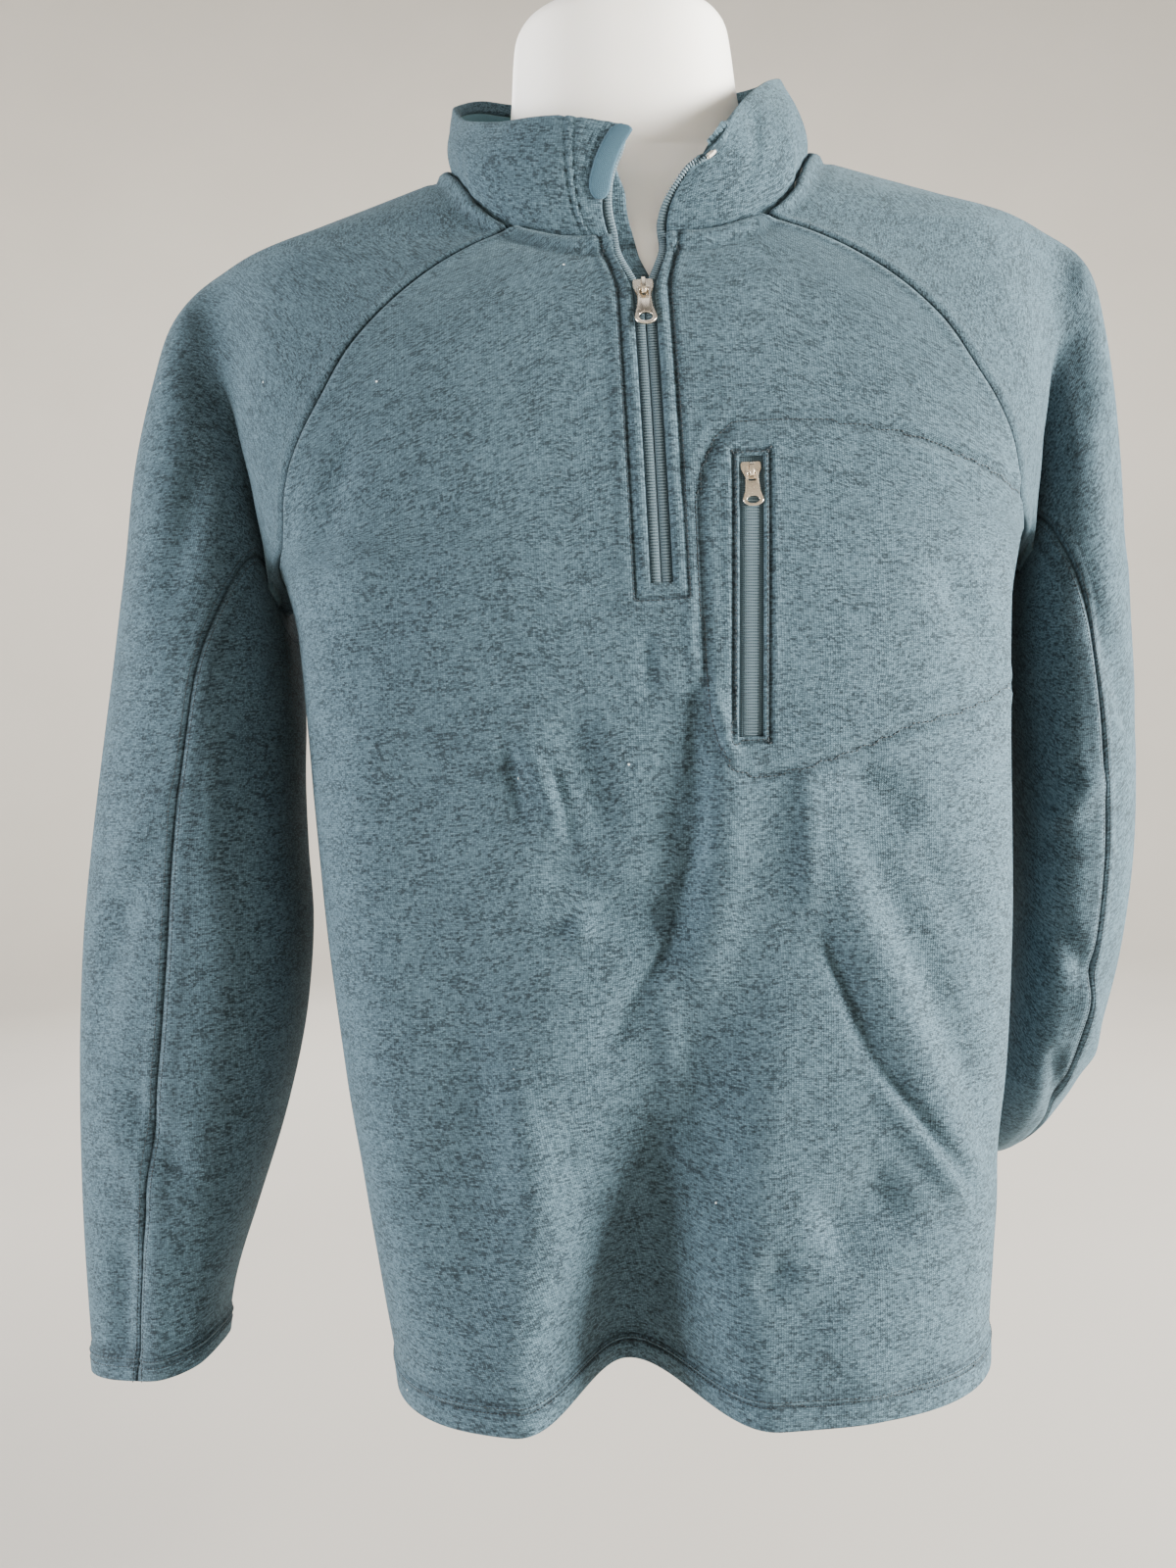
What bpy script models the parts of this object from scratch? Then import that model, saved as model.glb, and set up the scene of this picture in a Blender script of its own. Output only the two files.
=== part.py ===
"""A quarter-zip fleece pullover on a hanging torso form, built in the order it is sewn.

The garment is drawn in millimetres as (x, y, drop): x to the viewer's right, y away from the
viewer, and drop measured down from the flat top of the form's neck. place() turns that into the
row frame, metres with +Z up, whose origin is the seat of the hook that carries everything.
Every cloth panel is a wall: a grid of outer points on the worn surface, and the same grid moved
in by the cloth's thickness.
"""

import math

import bmesh
import bpy
import numpy as np
from mathutils import Matrix, Vector

MM = 0.001

# ---------------------------------------------------------------- driving dimensions, mm
CLOTH = 2.0  # sweater fleece, face and brushed back together
FACING = 1.3  # plain knit that lines the collar and the wind flap
SEAM_GAP = 0.4  # between two panels where they are sewn
LAYER_GAP = 0.35  # between a piece and the panel that it lies on
NECK_CORNER_DROP = 141.0  # where the front raglan seam meets the neck seam
UNDERARM_DROP = 321.0
HEM_DROP = 752.0
ZIP_END_DROP = 336.0
SLIDER_DROP = 186.0
SLOT_HALF = 5.6  # half of the gap that the front zip shows in
COLLAR_SLOT_HALF = 14.0  # half of that gap at the neck seam, where the zip is open
FORM_BOTTOM = 600.0
FORM_LOWER = 4.0  # how far the form's shoulders lie under the worn surface

HOOK_WIRE = 4.0
HOOK_RADIUS = 23.0  # of the hook's wire line
HOOK_CENTRE_RISE = 56.0  # above the neck's top
HOOK_END = 186.0  # degrees round the bend to its tip, so that a rail passes under it
HOOK_RISE = HOOK_CENTRE_RISE + HOOK_RADIUS - HOOK_WIRE / 2

# The worn surface: horizontal sections of the trunk and shoulders, as rounded boxes.
# drop, half width, depth to the front, depth to the back, squareness of the section
TRUNK = np.array(
    [
        (58, 78, 48, 50, 2.0),
        (72, 86, 52, 60, 2.0),
        (84, 102, 57, 68, 1.9),
        (95, 140, 62, 74, 1.65),
        (105, 172, 67, 79, 1.6),
        (115, 205, 71, 83, 1.65),
        (127, 238, 75, 88, 1.8),
        (140, 242, 79, 92, 2.1),
        (160, 240, 86, 97, 2.4),
        (190, 234, 98, 101, 2.7),
        (230, 227, 109, 104, 2.9),
        (270, 217, 116, 104, 3.0),
        (310, 205, 119, 102, 3.0),
        (345, 198, 119, 99, 3.0),
        (400, 195, 117, 95, 3.0),
        (460, 193, 115, 91, 3.0),
        (520, 190, 114, 89, 3.0),
        (580, 184, 114, 89, 3.0),
        (640, 176, 115, 91, 3.0),
        (700, 169, 117, 94, 3.0),
        (752, 163, 119, 97, 3.0),
        (790, 162, 120, 98, 3.0),
    ]
)

# Front raglan seam, and the seam along the shoulder and the back of the armhole: x at each drop.
FRONT_SEAM = np.array(
    [
        (141, 66),
        (150, 88),
        (162, 109),
        (181, 132),
        (204, 153),
        (227, 167),
        (246, 179),
        (264, 188),
        (277, 192),
        (291, 194.5),
        (304, 198),
        (313, 200.5),
        (320, 202),
    ]
)
BACK_SEAM_TOP = 80.0
# drop, how far behind the middle of the side the seam lies
BACK_SEAM = np.array(
    [
        (80, 12),
        (95, 10),
        (112, 11),
        (124, 17),
        (132, 28),
        (145, 44),
        (168, 57),
        (200, 64),
        (245, 60),
        (280, 46),
        (303, 28),
        (319, 10),
    ]
)

# The deep inward fold at the centre front: drop, x of its bottom, depth, half width on each side
FRONT_FOLD = np.array(
    [
        (430, 26, 0, 56, 40),
        (500, 14, 4, 58, 40),
        (560, 0, 11, 58, 42),
        (620, -16, 25, 55, 44),
        (680, -28, 43, 50, 48),
        (720, -34, 56, 46, 52),
        (752, -36, 66, 44, 55),
    ]
)
FOLD_LIFT = 0.17  # how much the hem rises for each millimetre that the fold goes in

# Soft folds that the trunk shows: start x and drop, end x and drop, half width, depth, and side.
# A positive depth is a ridge and a negative one a trough.
TRUNK_FOLDS = [
    ("left_edge_ridge", -158, 330, -150, 700, 22, 5.0, "front"),
    ("pocket_corner_ridge", 30, 425, 8, 545, 15, 6.0, "front"),
    ("pocket_corner_trough", 8, 405, -8, 520, 14, -5.0, "front"),
    ("sling_trough", -66, 470, -10, 505, 15, -4.5, "front"),
    ("sling_trough_right", -10, 505, 24, 470, 13, -3.5, "front"),
    ("left_drag_trough", -48, 395, -34, 462, 10, -3.5, "front"),
    ("right_drag_ridge", 78, 470, 150, 665, 15, 6.0, "front"),
    ("right_drag_trough", 92, 460, 164, 640, 13, -5.0, "front"),
    ("lower_right_dent", 62, 660, 104, 640, 20, -7.0, "front"),
    ("left_hem_dent", -128, 610, -104, 700, 22, -4.0, "front"),
    ("back_left_fold", -62, 420, -78, 790, 26, -16.0, "back"),
    ("back_right_fold", 58, 380, 76, 790, 30, -20.0, "back"),
    ("back_centre_ridge", 0, 400, 4, 790, 26, 6.0, "back"),
    ("back_blade_fold", -120, 300, -60, 420, 18, -5.0, "back"),
]

# Sleeves hang as closed rings. Each row: drop of the outer and of the inner side, middle x and y,
# half width, depth in front of and behind the middle, shift of the front ridge from the middle,
# and how far the ring pitches back.
SLEEVE_RIGHT = np.array(
    [
        (154, 334, 235, 4, 27, 43, 50, -2, 0),
        (188, 347, 240, 4, 34, 54, 52, 0, 0),
        (236, 366, 247, 5, 41, 63, 54, -3, 0),
        (292, 391, 252, 5, 46, 67, 55, -6, 0),
        (350, 420, 258, 5, 51, 69, 54, -10, 0),
        (415, 460, 264, 5, 57, 69, 52, -15, 0),
        (480, 505, 269, 5, 63, 67, 50, -18, 0),
        (545, 556, 276, 5, 64, 62, 47, -18, 0),
        (610, 612, 285, 3, 58, 54, 44, -15, 0),
        (668, 664, 294, 0, 49, 47, 41, -14, -2),
        (716, 706, 301, -3, 41, 41, 39, -13, -3),
        (750, 738, 303, -5, 37, 38, 37, -12, -4),
    ]
)
SLEEVE_LEFT = np.array(
    [
        (150, 334, 233, 6, 25, 42, 54, 1, 0),
        (186, 347, 236, 9, 30, 50, 58, 1, 0),
        (236, 366, 237, 12, 33, 62, 62, 0, 0),
        (292, 391, 238, 14, 35, 68, 65, -2, 0),
        (350, 420, 239, 16, 36, 70, 66, -4, 0),
        (415, 460, 240, 19, 37, 68, 66, -7, 3),
        (478, 508, 240, 26, 37, 64, 64, -8, 8),
        (536, 556, 237, 40, 36, 60, 60, -8, 18),
        (586, 600, 232, 62, 34, 56, 54, -6, 30),
        (622, 630, 226, 90, 32, 50, 48, -4, 42),
        (648, 652, 218, 122, 30, 45, 43, -2, 53),
        (662, 664, 208, 156, 29, 41, 40, 0, 62),
        (668, 669, 199, 184, 28, 39, 38, 0, 66),
    ]
)
# Places round a sleeve ring, from the underarm line through the front: share of the way round,
# and share of the way up from the ring's inner drop to its outer drop.
RING_STATIONS = np.array(
    [
        (0.0, 0.0),
        (0.05, 0.04),
        (0.1, 0.17),
        (0.14, 0.34),
        (0.28, 0.78),
        (0.39, 0.93),
        (0.5, 1.0),
        (0.64, 0.88),
        (0.77, 0.58),
        (0.86, 0.31),
        (0.9, 0.17),
        (0.95, 0.04),
    ]
)
# Where the sleeve leaves the form's shoulder: share of the way round, turn and drop.
ARM_EDGE = np.array(
    [
        (0, 1.0, 325),
        (0.04, 0.955, 317),
        (0.07, 0.892, 309),
        (0.1, 0.846, 295),
        (0.14, 0.83, 264),
        (0.28, 0.8, 188),
        (0.39, 0.86, 146),
        (0.45, 0.93, 131),
        (0.5, 0.98, 128),
        (0.56, 1.01, 128),
        (0.64, 1.05, 132),
        (0.77, 1.17, 184),
        (0.86, 1.22, 262),
        (0.9, 1.195, 290),
        (0.93, 1.144, 303),
        (0.96, 1.08, 314),
        (1, 1.0, 325),
    ]
)
# Where the two seams of the under-sleeve run: row of the sleeve, front and back share of the ring.
UNDER_SLEEVE = np.array(
    [
        (0, 0.035, -0.035),
        (1, 0.05, -0.05),
        (3, 0.1, -0.08),
        (5, 0.17, -0.1),
        (7, 0.25, -0.11),
        (9, 0.29, -0.11),
        (14, 0.3, -0.1),
    ]
)

# The neck seam round the worn surface: turn and drop.
NECK_SEAM = np.array(
    [
        (0.0, 152),
        (0.08, 150.5),
        (0.165, 141),
        (0.315, 117),
        (0.506, 97),
        (0.688, 88),
        (1.0, 82.5),
        (1.124, 80),
        (1.352, 78),
        (1.7, 75),
        (2.0, 73),
    ]
)

# The collar, from its right front edge (the viewer's left) round the back to the left one:
# share of the way round, turn of its seam (past -2 it comes forward on the other side),
# x, y and drop of its top edge, and how far it bulges outward half way up.
COLLAR = np.array(
    [
        (0.00, -0.026, -4, -90, 99, 2),
        (0.08, -0.083, -32, -88, 92, 5),
        (0.17, -0.165, -66, -72, 84, 7),
        (0.27, -0.345, -89, -40, 66, 5),
        (0.36, -0.80, -98, 2, 36, 3),
        (0.43, -1.352, -80, 46, 12, 2),
        (0.50, -2.0, 0, 78, 5, 3),
        (0.57, -2.648, 80, 48, 12, 2),
        (0.64, -3.20, 92, 6, 28, 4),
        (0.73, -3.655, 77, -34, 50, 8),
        (0.83, -3.835, 60, -60, 74, 8),
        (0.92, -3.917, 50, -78, 93, 6),
        (1.00, -3.974, 44, -86, 106, 2),
    ]
)

TAPE = 1.0  # zip tape
BAG = 1.0  # pocket bag's knit
SLIDER_CENTRE = 180.0

# The pocket bag: x, and the drops of its top and bottom edge, as its stitching shows them.
POCKET_BAG = np.array(
    [
        (19, 300, 400),
        (23, 280, 418),
        (30, 266, 428),
        (40, 258, 433),
        (60, 257, 431),
        (90, 260, 423),
        (120, 265, 412),
        (150, 275, 405),
        (166, 281, 400),
    ]
)

# Pocket zip window in the front: x of its middle and drop, at its top and its bottom end.
POCKET_TOP = (47.0, 276.0)
POCKET_END = (40.0, 413.0)
POCKET_HALF = 6.0

# The form: drop, half width, depth to the front, depth to the back, squareness. Below the neck
# it is the worn surface, lowered and taken in.
NECK_FORM = np.array(
    [
        (0, 46, 41, 41, 2.3),
        (1.4, 52.5, 47.5, 47.5, 2.4),
        (5, 58, 52, 52, 2.5),
        (11, 61.2, 54.5, 54.5, 2.5),
        (20, 62.6, 55, 55, 2.4),
        (42, 64.8, 54, 54, 2.3),
        (60, 68, 52, 53, 2.2),
        (74, 74, 51, 54, 2.1),
        (84, 84, 52, 58, 2.0),
    ]
)
# How much narrower and shallower than the worn surface the form is below the shoulders.
FORM_TAKEN_IN = np.array(
    [
        (90, 5, 5, 5),
        (150, 5, 6, 5),
        (230, 5, 7, 6),
        (300, 7, 8, 8),
        (380, 14, 15, 14),
        (480, 32, 30, 24),
        (560, 36, 38, 26),
        (600, 36, 42, 28),
    ]
)


# ---------------------------------------------------------------- curves and surfaces
def smooth(at, table, column):
    """A table's column at each place, along a curve that never overshoots its rows."""
    xs = table[:, 0]
    ys = table[:, column]
    steps = np.diff(xs)
    slopes = np.diff(ys) / steps
    inner = np.where(
        slopes[:-1] * slopes[1:] > 0,
        2 * slopes[:-1] * slopes[1:] / np.where(slopes[:-1] + slopes[1:] == 0, 1, slopes[:-1] + slopes[1:]),
        0.0,
    )
    tangents = np.concatenate([[slopes[0]], inner, [slopes[-1]]])
    at = np.clip(np.asarray(at, float), xs[0], xs[-1])
    row = np.clip(np.searchsorted(xs, at, side="right") - 1, 0, len(xs) - 2)
    width = steps[row]
    t = (at - xs[row]) / width
    return (
        ys[row] * (1 + 2 * t) * (1 - t) ** 2
        + tangents[row] * width * t * (1 - t) ** 2
        + ys[row + 1] * t**2 * (3 - 2 * t)
        + tangents[row + 1] * width * t**2 * (t - 1)
    )


def unit(vectors):
    """The vectors at length 1."""
    return vectors / np.maximum(np.linalg.norm(vectors, axis=-1, keepdims=True), 1e-9)


def section_point(table, turn, drop):
    """A point of a rounded-box section. turn is 0 at the front, 1 and -1 at the sides, 2 at the back."""
    turn, drop = np.broadcast_arrays(np.asarray(turn, float), np.asarray(drop, float))
    turn = np.mod(turn + 2, 4) - 2
    half = smooth(drop, table, 1)
    front = smooth(drop, table, 2)
    back = smooth(drop, table, 3)
    power = 2.0 / smooth(drop, table, 4)
    size = np.abs(turn)
    ahead = size <= 1
    angle = np.where(ahead, size, 2 - size) * math.pi / 2
    x = np.sign(turn) * half * np.abs(np.sin(angle)) ** power
    y = np.abs(np.cos(angle)) ** power * np.where(ahead, -front, back)
    return np.stack([x, y, drop], axis=-1)


def along_line(x, drop, start, end):
    """How far along and how far across a line in the front view each point is."""
    direction = np.array(end, float) - np.array(start, float)
    length = np.linalg.norm(direction)
    direction = direction / length
    dx, dd = x - start[0], drop - start[1]
    return (dx * direction[0] + dd * direction[1]) / length, dx * direction[1] - dd * direction[0]


def fade(value, low, high):
    """0 below low, 1 above high, and a smooth rise between."""
    t = np.clip((value - low) / (high - low), 0, 1)
    return t * t * (3 - 2 * t)


def fold_push(points):
    """How far the trunk's folds move each point outward."""
    x, y, drop = points[..., 0], points[..., 1], points[..., 2]
    push = np.zeros(x.shape)
    for _, x0, drop0, x1, drop1, half, depth, side in TRUNK_FOLDS:
        share, across = along_line(x, drop, (x0, drop0), (x1, drop1))
        ends = fade(share, -0.15, 0.25) * (1 - fade(share, 0.75, 1.15))
        facing = fade(-y, 20, 60) if side == "front" else fade(y, 20, 55)
        push = push + depth * ends * facing * np.exp(-((across / half) ** 2))
    return push


def front_valley(points):
    """How far back the deep fold at the centre front carries each point."""
    x, y, drop = points[..., 0], points[..., 1], points[..., 2]
    middle = smooth(drop, FRONT_FOLD, 1)
    depth = smooth(drop, FRONT_FOLD, 2)
    half = np.where(x < middle, smooth(drop, FRONT_FOLD, 3), smooth(drop, FRONT_FOLD, 4))
    near = np.clip(np.abs(x - middle) / (1.35 * half), 0, 1)
    return depth * (0.5 + 0.5 * np.cos(math.pi * near)) ** 1.15 * fade(-y, 5, 45)


def worn(turn, drop):
    """The garment's outer surface round the trunk and shoulders, folds and all."""
    base = section_point(TRUNK, turn, drop)
    turn = np.asarray(turn, float)
    side = section_point(TRUNK, turn + 0.01, drop) - section_point(TRUNK, turn - 0.01, drop)
    outward = unit(np.stack([-side[..., 1], side[..., 0], np.zeros(side.shape[:-1])], axis=-1))
    outward = outward * np.sign((outward[..., :2] * base[..., :2]).sum(-1))[..., None]
    moved = base + outward * fold_push(base)[..., None]
    valley = front_valley(base)
    moved[..., 1] += valley
    moved[..., 2] -= valley * FOLD_LIFT * fade(base[..., 2], 560, HEM_DROP)
    return moved


def worn_normal(turn, drop):
    """The outward normal of the worn surface."""
    turn, drop = np.broadcast_arrays(np.asarray(turn, float), np.asarray(drop, float))
    round_it = worn(turn + 0.012, drop) - worn(turn - 0.012, drop)
    down = worn(turn, drop + 1.5) - worn(turn, drop - 1.5)
    return unit(np.cross(round_it, down))


def turn_of_x(x, drop):
    """Where on the front half of a section x is reached."""
    share = np.clip(x / smooth(drop, TRUNK, 1), 0, 1)
    return np.arcsin(share ** (smooth(drop, TRUNK, 4) / 2)) * 2 / math.pi


def turn_of_back(behind, drop):
    """Where on the back half of a section the seam lies that far behind its middle."""
    share = np.clip(behind / smooth(drop, TRUNK, 3), 0, 1)
    return 2 - np.arccos(share ** (smooth(drop, TRUNK, 4) / 2)) * 2 / math.pi


def front_edge_turn(drop):
    """The front panel's edge: the raglan seam, then the side seam."""
    raglan = turn_of_x(smooth(drop, FRONT_SEAM, 1), drop)
    return np.where(drop < UNDERARM_DROP, raglan + (1 - raglan) * fade(drop, 298, UNDERARM_DROP), 1.0)


def back_edge_turn(drop):
    """The back panel's edge: the shoulder and armhole seam, then the side seam."""
    armhole = turn_of_back(smooth(drop, BACK_SEAM, 1), drop)
    return np.where(drop < UNDERARM_DROP, 1 + (armhole - 1) * (1 - fade(drop, 298, UNDERARM_DROP)), 1.0)


def neck_drop(turn):
    """Drop of the neck seam."""
    return smooth(np.abs(turn), NECK_SEAM, 1)


def even_turns(start, end, drop, count):
    """Turns from start to end that are evenly far apart along the unfolded section."""
    dense = np.linspace(start, end, 160)
    points = section_point(TRUNK, dense, drop)
    reach = np.concatenate([[0], np.cumsum(np.linalg.norm(np.diff(points, axis=0), axis=1))])
    return np.interp(np.linspace(0, reach[-1], count), reach, dense)


def seam_shift(edge_turn, drops):
    """Half the seam gap, across the seam and away from the middle of the front."""
    drops = np.asarray(drops, float)
    turn = edge_turn(drops)
    run = worn(edge_turn(drops + 1), drops + 1) - worn(edge_turn(drops - 1), drops - 1)
    across = unit(np.cross(worn_normal(turn, drops), unit(run)))
    outward = worn(turn + 0.01, drops) - worn(turn - 0.01, drops)
    wider = 1 + 1.5 * np.maximum(fade(turn, 1.0, 1.06), fade(drops, 296, 314))
    return across * (np.sign((across * outward).sum(-1)) * wider)[..., None] * SEAM_GAP / 2


# ---------------------------------------------------------------- turning grids into solids
def place(points):
    """Millimetres and drop to the row frame."""
    points = np.asarray(points, float)
    return np.stack(
        [points[..., 0] * MM, points[..., 1] * MM, -(points[..., 2] + HOOK_RISE) * MM],
        axis=-1,
    )


def finish_mesh(name, maker, material, collection):
    """An object of that name from a bmesh, with its normals outward."""
    bmesh.ops.recalc_face_normals(maker, faces=maker.faces)
    mesh = bpy.data.meshes.new(name)
    maker.to_mesh(mesh)
    maker.free()
    mesh.shade_smooth()
    mesh.set_sharp_from_angle(angle=math.radians(50))
    mesh.materials.append(material)
    made = bpy.data.objects.new(name, mesh)
    collection.objects.link(made)
    return made


def wall(name, outer, normals, thickness, material, collection, keep=None, lift=0.0, closed=False):
    """A closed wall between a grid of outer points and the same grid moved in.

    keep says which cells of the grid are cloth, for a panel with a slit or a window in it, and
    closed that the last column joins the first one.
    """
    rows, columns = outer.shape[:2]
    across = columns if closed else columns - 1
    keep = np.ones((rows - 1, across), bool) if keep is None else keep
    maker = bmesh.new()
    layers = []
    for depth in (lift, lift - thickness):
        flat = place(outer + normals * depth).reshape(-1, 3)
        layers.append([maker.verts.new(p) for p in flat])
    front, back = layers

    def cloth(i, j):
        if closed:
            j = j % columns
        return 0 <= i < rows - 1 and 0 <= j < across and keep[i, j]

    for i in range(rows - 1):
        for j in range(across):
            if not keep[i, j]:
                continue
            a, b = i * columns + j, i * columns + (j + 1) % columns
            c, d = a + columns, b + columns
            maker.faces.new((front[a], front[b], front[d], front[c]))
            maker.faces.new((back[a], back[c], back[d], back[b]))
            rims = (
                (cloth(i - 1, j), a, b),
                (cloth(i + 1, j), d, c),
                (cloth(i, j - 1), c, a),
                (cloth(i, j + 1), b, d),
            )
            for joined, p, q in rims:
                if not joined:
                    maker.faces.new((front[p], back[p], back[q], front[q]))
    bmesh.ops.delete(maker, geom=[v for v in maker.verts if not v.link_faces], context="VERTS")
    return finish_mesh(name, maker, material, collection)


def material_of(name, colour, roughness, metallic=0.0):
    """A Principled material of one colour."""
    made = bpy.data.materials.new(name)
    made.use_nodes = True
    shader = made.node_tree.nodes["Principled BSDF"]
    shader.inputs["Base Color"].default_value = (*colour, 1.0)
    shader.inputs["Roughness"].default_value = roughness
    shader.inputs["Metallic"].default_value = metallic
    return made


# ---------------------------------------------------------------- the panels' grids
def slot_half(drop):
    """Half the width of the gap in the front that the zip shows in."""
    open_part = fade(-np.asarray(drop, float), -SLIDER_DROP, -NECK_CORNER_DROP - 5)
    return SLOT_HALF + (COLLAR_SLOT_HALF - SLOT_HALF) * open_part


def pocket_x(drop):
    """The middle of the pocket's zip window at a drop."""
    share = np.clip((drop - POCKET_TOP[1]) / (POCKET_END[1] - POCKET_TOP[1]), 0, 1)
    return POCKET_TOP[0] + (POCKET_END[0] - POCKET_TOP[0]) * share


def front_grid(drops, left_count, inner_count, outer_count):
    """Turn and drop of each grid point of the front panel, and its columns beside the windows."""
    turns = []
    lines = []
    for drop in drops:
        edge = float(front_edge_turn(drop))
        slit = float(turn_of_x(slot_half(drop), drop))
        near = float(turn_of_x(pocket_x(drop) - POCKET_HALF, drop))
        far = float(turn_of_x(pocket_x(drop) + POCKET_HALF, drop))
        row = np.concatenate(
            [
                even_turns(-edge, -slit, drop, left_count),
                even_turns(slit, near, drop, inner_count),
                even_turns(far, edge, drop, outer_count),
            ]
        )
        # towards the neck each row bends to follow the neck seam
        ease = np.clip(1 - (drop - drops[0]) / 60, 0, 1)
        x = section_point(TRUNK, row, drop)[:, 0]
        bent = drop + (neck_drop(row * 0.165 / edge) - NECK_CORNER_DROP) * ease
        turns.append(np.sign(x) * turn_of_x(np.abs(x), bent))
        lines.append(bent)
    return np.array(turns), np.array(lines), (left_count - 1, left_count + inner_count - 1)


def back_grid(drops, count):
    """Turn and drop of each grid point of the back panel, from the viewer's left to the right."""
    turns = []
    lines = []
    for drop in drops:
        edge = float(back_edge_turn(drop))
        right = even_turns(2.0, edge, drop, count)
        left = even_turns(-2.0, -edge, drop, count)
        row = np.concatenate([left[::-1], right[1:]])
        ease = np.clip(1 - (drop - drops[0]) / 40, 0, 1)
        share = (2 - np.abs(row)) / (2 - edge)
        bent = drop + (neck_drop(2 - share * 0.876) - drops[0]) * ease
        turns.append(row)
        lines.append(bent)
    return np.array(turns), np.array(lines)


def seam_paths():
    """The sleeve's seam in four stretches: turn, drop and gap along each, and its place round."""
    drops = np.linspace(UNDERARM_DROP, NECK_CORNER_DROP, 90)
    front = np.column_stack([front_edge_turn(drops), drops, seam_shift(front_edge_turn, drops)])
    neck_turns = np.linspace(0.165, 1.124, 60)
    neck = np.column_stack([neck_turns, neck_drop(neck_turns), np.zeros((60, 3))])
    drops = np.linspace(BACK_SEAM_TOP, UNDERARM_DROP, 160)
    back = np.column_stack([back_edge_turn(drops), drops, -seam_shift(back_edge_turn, drops)])
    front[0, 2:] = back[-1, 2:] = (0, 0, -1.3)
    made = []
    ridge = back[back[:, 1] <= 130]
    back = back[back[:, 1] > 130]
    stretches = ((front, 0.0, 0.42), (neck, 0.42, 0.53), (ridge, 0.53, 0.64), (back, 0.642, 1.0))
    for path, start, end in stretches:
        points = section_point(TRUNK, path[:, 0], path[:, 1])
        reach = np.concatenate([[0], np.cumsum(np.linalg.norm(np.diff(points, axis=0), axis=1))])
        made.append((path, start + (end - start) * reach / reach[-1]))
    return made


SEAM_PATHS = []


def sleeve_seam_ring(shares):
    """Turn, drop and gap of the sleeve's seam with the front, the collar and the back."""
    if not SEAM_PATHS:
        SEAM_PATHS.extend(seam_paths())
    shares = np.mod(shares, 1.0)
    places = np.concatenate([place_round for _, place_round in SEAM_PATHS])
    path = np.concatenate([points for points, _ in SEAM_PATHS])
    turn, drop, *gap = (np.interp(shares, places, path[:, k]) for k in range(5))
    return turn, drop, np.stack(gap, axis=-1)


def seam_stations(front_drops, back_drops, neck_count):
    """Places round the sleeve's seam that meet the rows of the front and of the back panel."""
    if not SEAM_PATHS:
        SEAM_PATHS.extend(seam_paths())
    (front, front_place), (_, neck_place), (ridge, ridge_place), (back, back_place) = SEAM_PATHS
    ahead = [np.interp(-d, -front[:, 1], front_place) for d in front_drops]
    back = np.concatenate([ridge, back])
    back_place = np.concatenate([ridge_place, back_place])
    behind = [np.interp(d, back[:, 1], back_place) for d in back_drops]
    top = np.linspace(neck_place[0], neck_place[-1], neck_count + 2)[1:-1]
    return np.array(sorted([*ahead, *top, *behind]))


def hanging_ring(row, shares, round_out=1.0):
    """Points round one hanging ring of a sleeve, on the positive side of x.

    round_out is 1 for an oval ring, and less for one with a flat side against the trunk.
    """
    outer, inner, x0, y0, half, front, back, shift, pitch = row
    shares = np.mod(shares, 1.0)
    turn = shares * 2 * math.pi
    across = -np.sign(np.cos(turn)) * np.abs(np.cos(turn)) ** (0.75 + 0.25 * round_out)
    along = np.sin(turn)
    depth = np.where(along > 0, front, back) * np.abs(along) ** (0.58 + 0.34 * round_out) * np.sign(along)
    tilt = math.radians(pitch)
    x = x0 + half * across + shift * np.clip(along, 0, 1) ** 2
    y = y0 - depth * math.cos(tilt)
    stations = np.vstack([RING_STATIONS, (1.0, 0.0)])
    drop = inner + (outer - inner) * smooth(shares, stations, 1) + depth * math.sin(tilt)
    return np.stack([x, y, drop], axis=-1)


def sleeve_points(table, side, shares, rows):
    """Points of a sleeve at each share of the way round and each place along its rows.

    Rows 0 and 1 lie on the trunk's surface, row 2 where the sleeve leaves the form, and the rest
    are the hanging rings of the table.
    """
    shares = np.asarray(shares, float)
    rows = np.asarray(rows, float)
    if shares.ndim == 1:
        shares = np.broadcast_to(shares, (len(rows), len(shares)))
    last = len(table) + 2
    made = np.zeros((*shares.shape, 3))

    def key(index, here):
        if index >= 3:
            return hanging_ring(table[index - 3], here, min((index - 3) / 4, 1.0))
        seam_turn, seam_drop, gap = sleeve_seam_ring(here)
        edge_turn = smooth(np.mod(here, 1.0), ARM_EDGE, 1)
        edge_drop = smooth(np.mod(here, 1.0), ARM_EDGE, 2)
        share = index / 2
        turn = seam_turn + (edge_turn - seam_turn) * share
        drop = seam_drop + (edge_drop - seam_drop) * share
        # at the underarm the sleeve turns off the trunk at once
        off = np.abs(np.mod(here + 0.5, 1.0) - 0.5)
        off = (1 - fade(off, 0.06, 0.16)) * 8.0 * share
        return worn(turn, drop) + worn_normal(turn, drop) * off[..., None] + gap * (1 - share)

    for i, place_along in enumerate(rows):
        low = int(min(max(math.floor(place_along), 0), last - 1))
        t = place_along - low
        p0, p1, p2, p3 = (key(min(max(k, 0), last), shares[i]) for k in (low - 1, low, low + 1, low + 2))
        bend = 2 * p0 - 5 * p1 + 4 * p2 - p3
        twist = 3 * p1 - p0 - 3 * p2 + p3
        made[i] = 0.5 * (2 * p1 + (p2 - p0) * t + bend * t**2 + twist * t**3)
    made[..., 0] *= side
    return made


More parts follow.
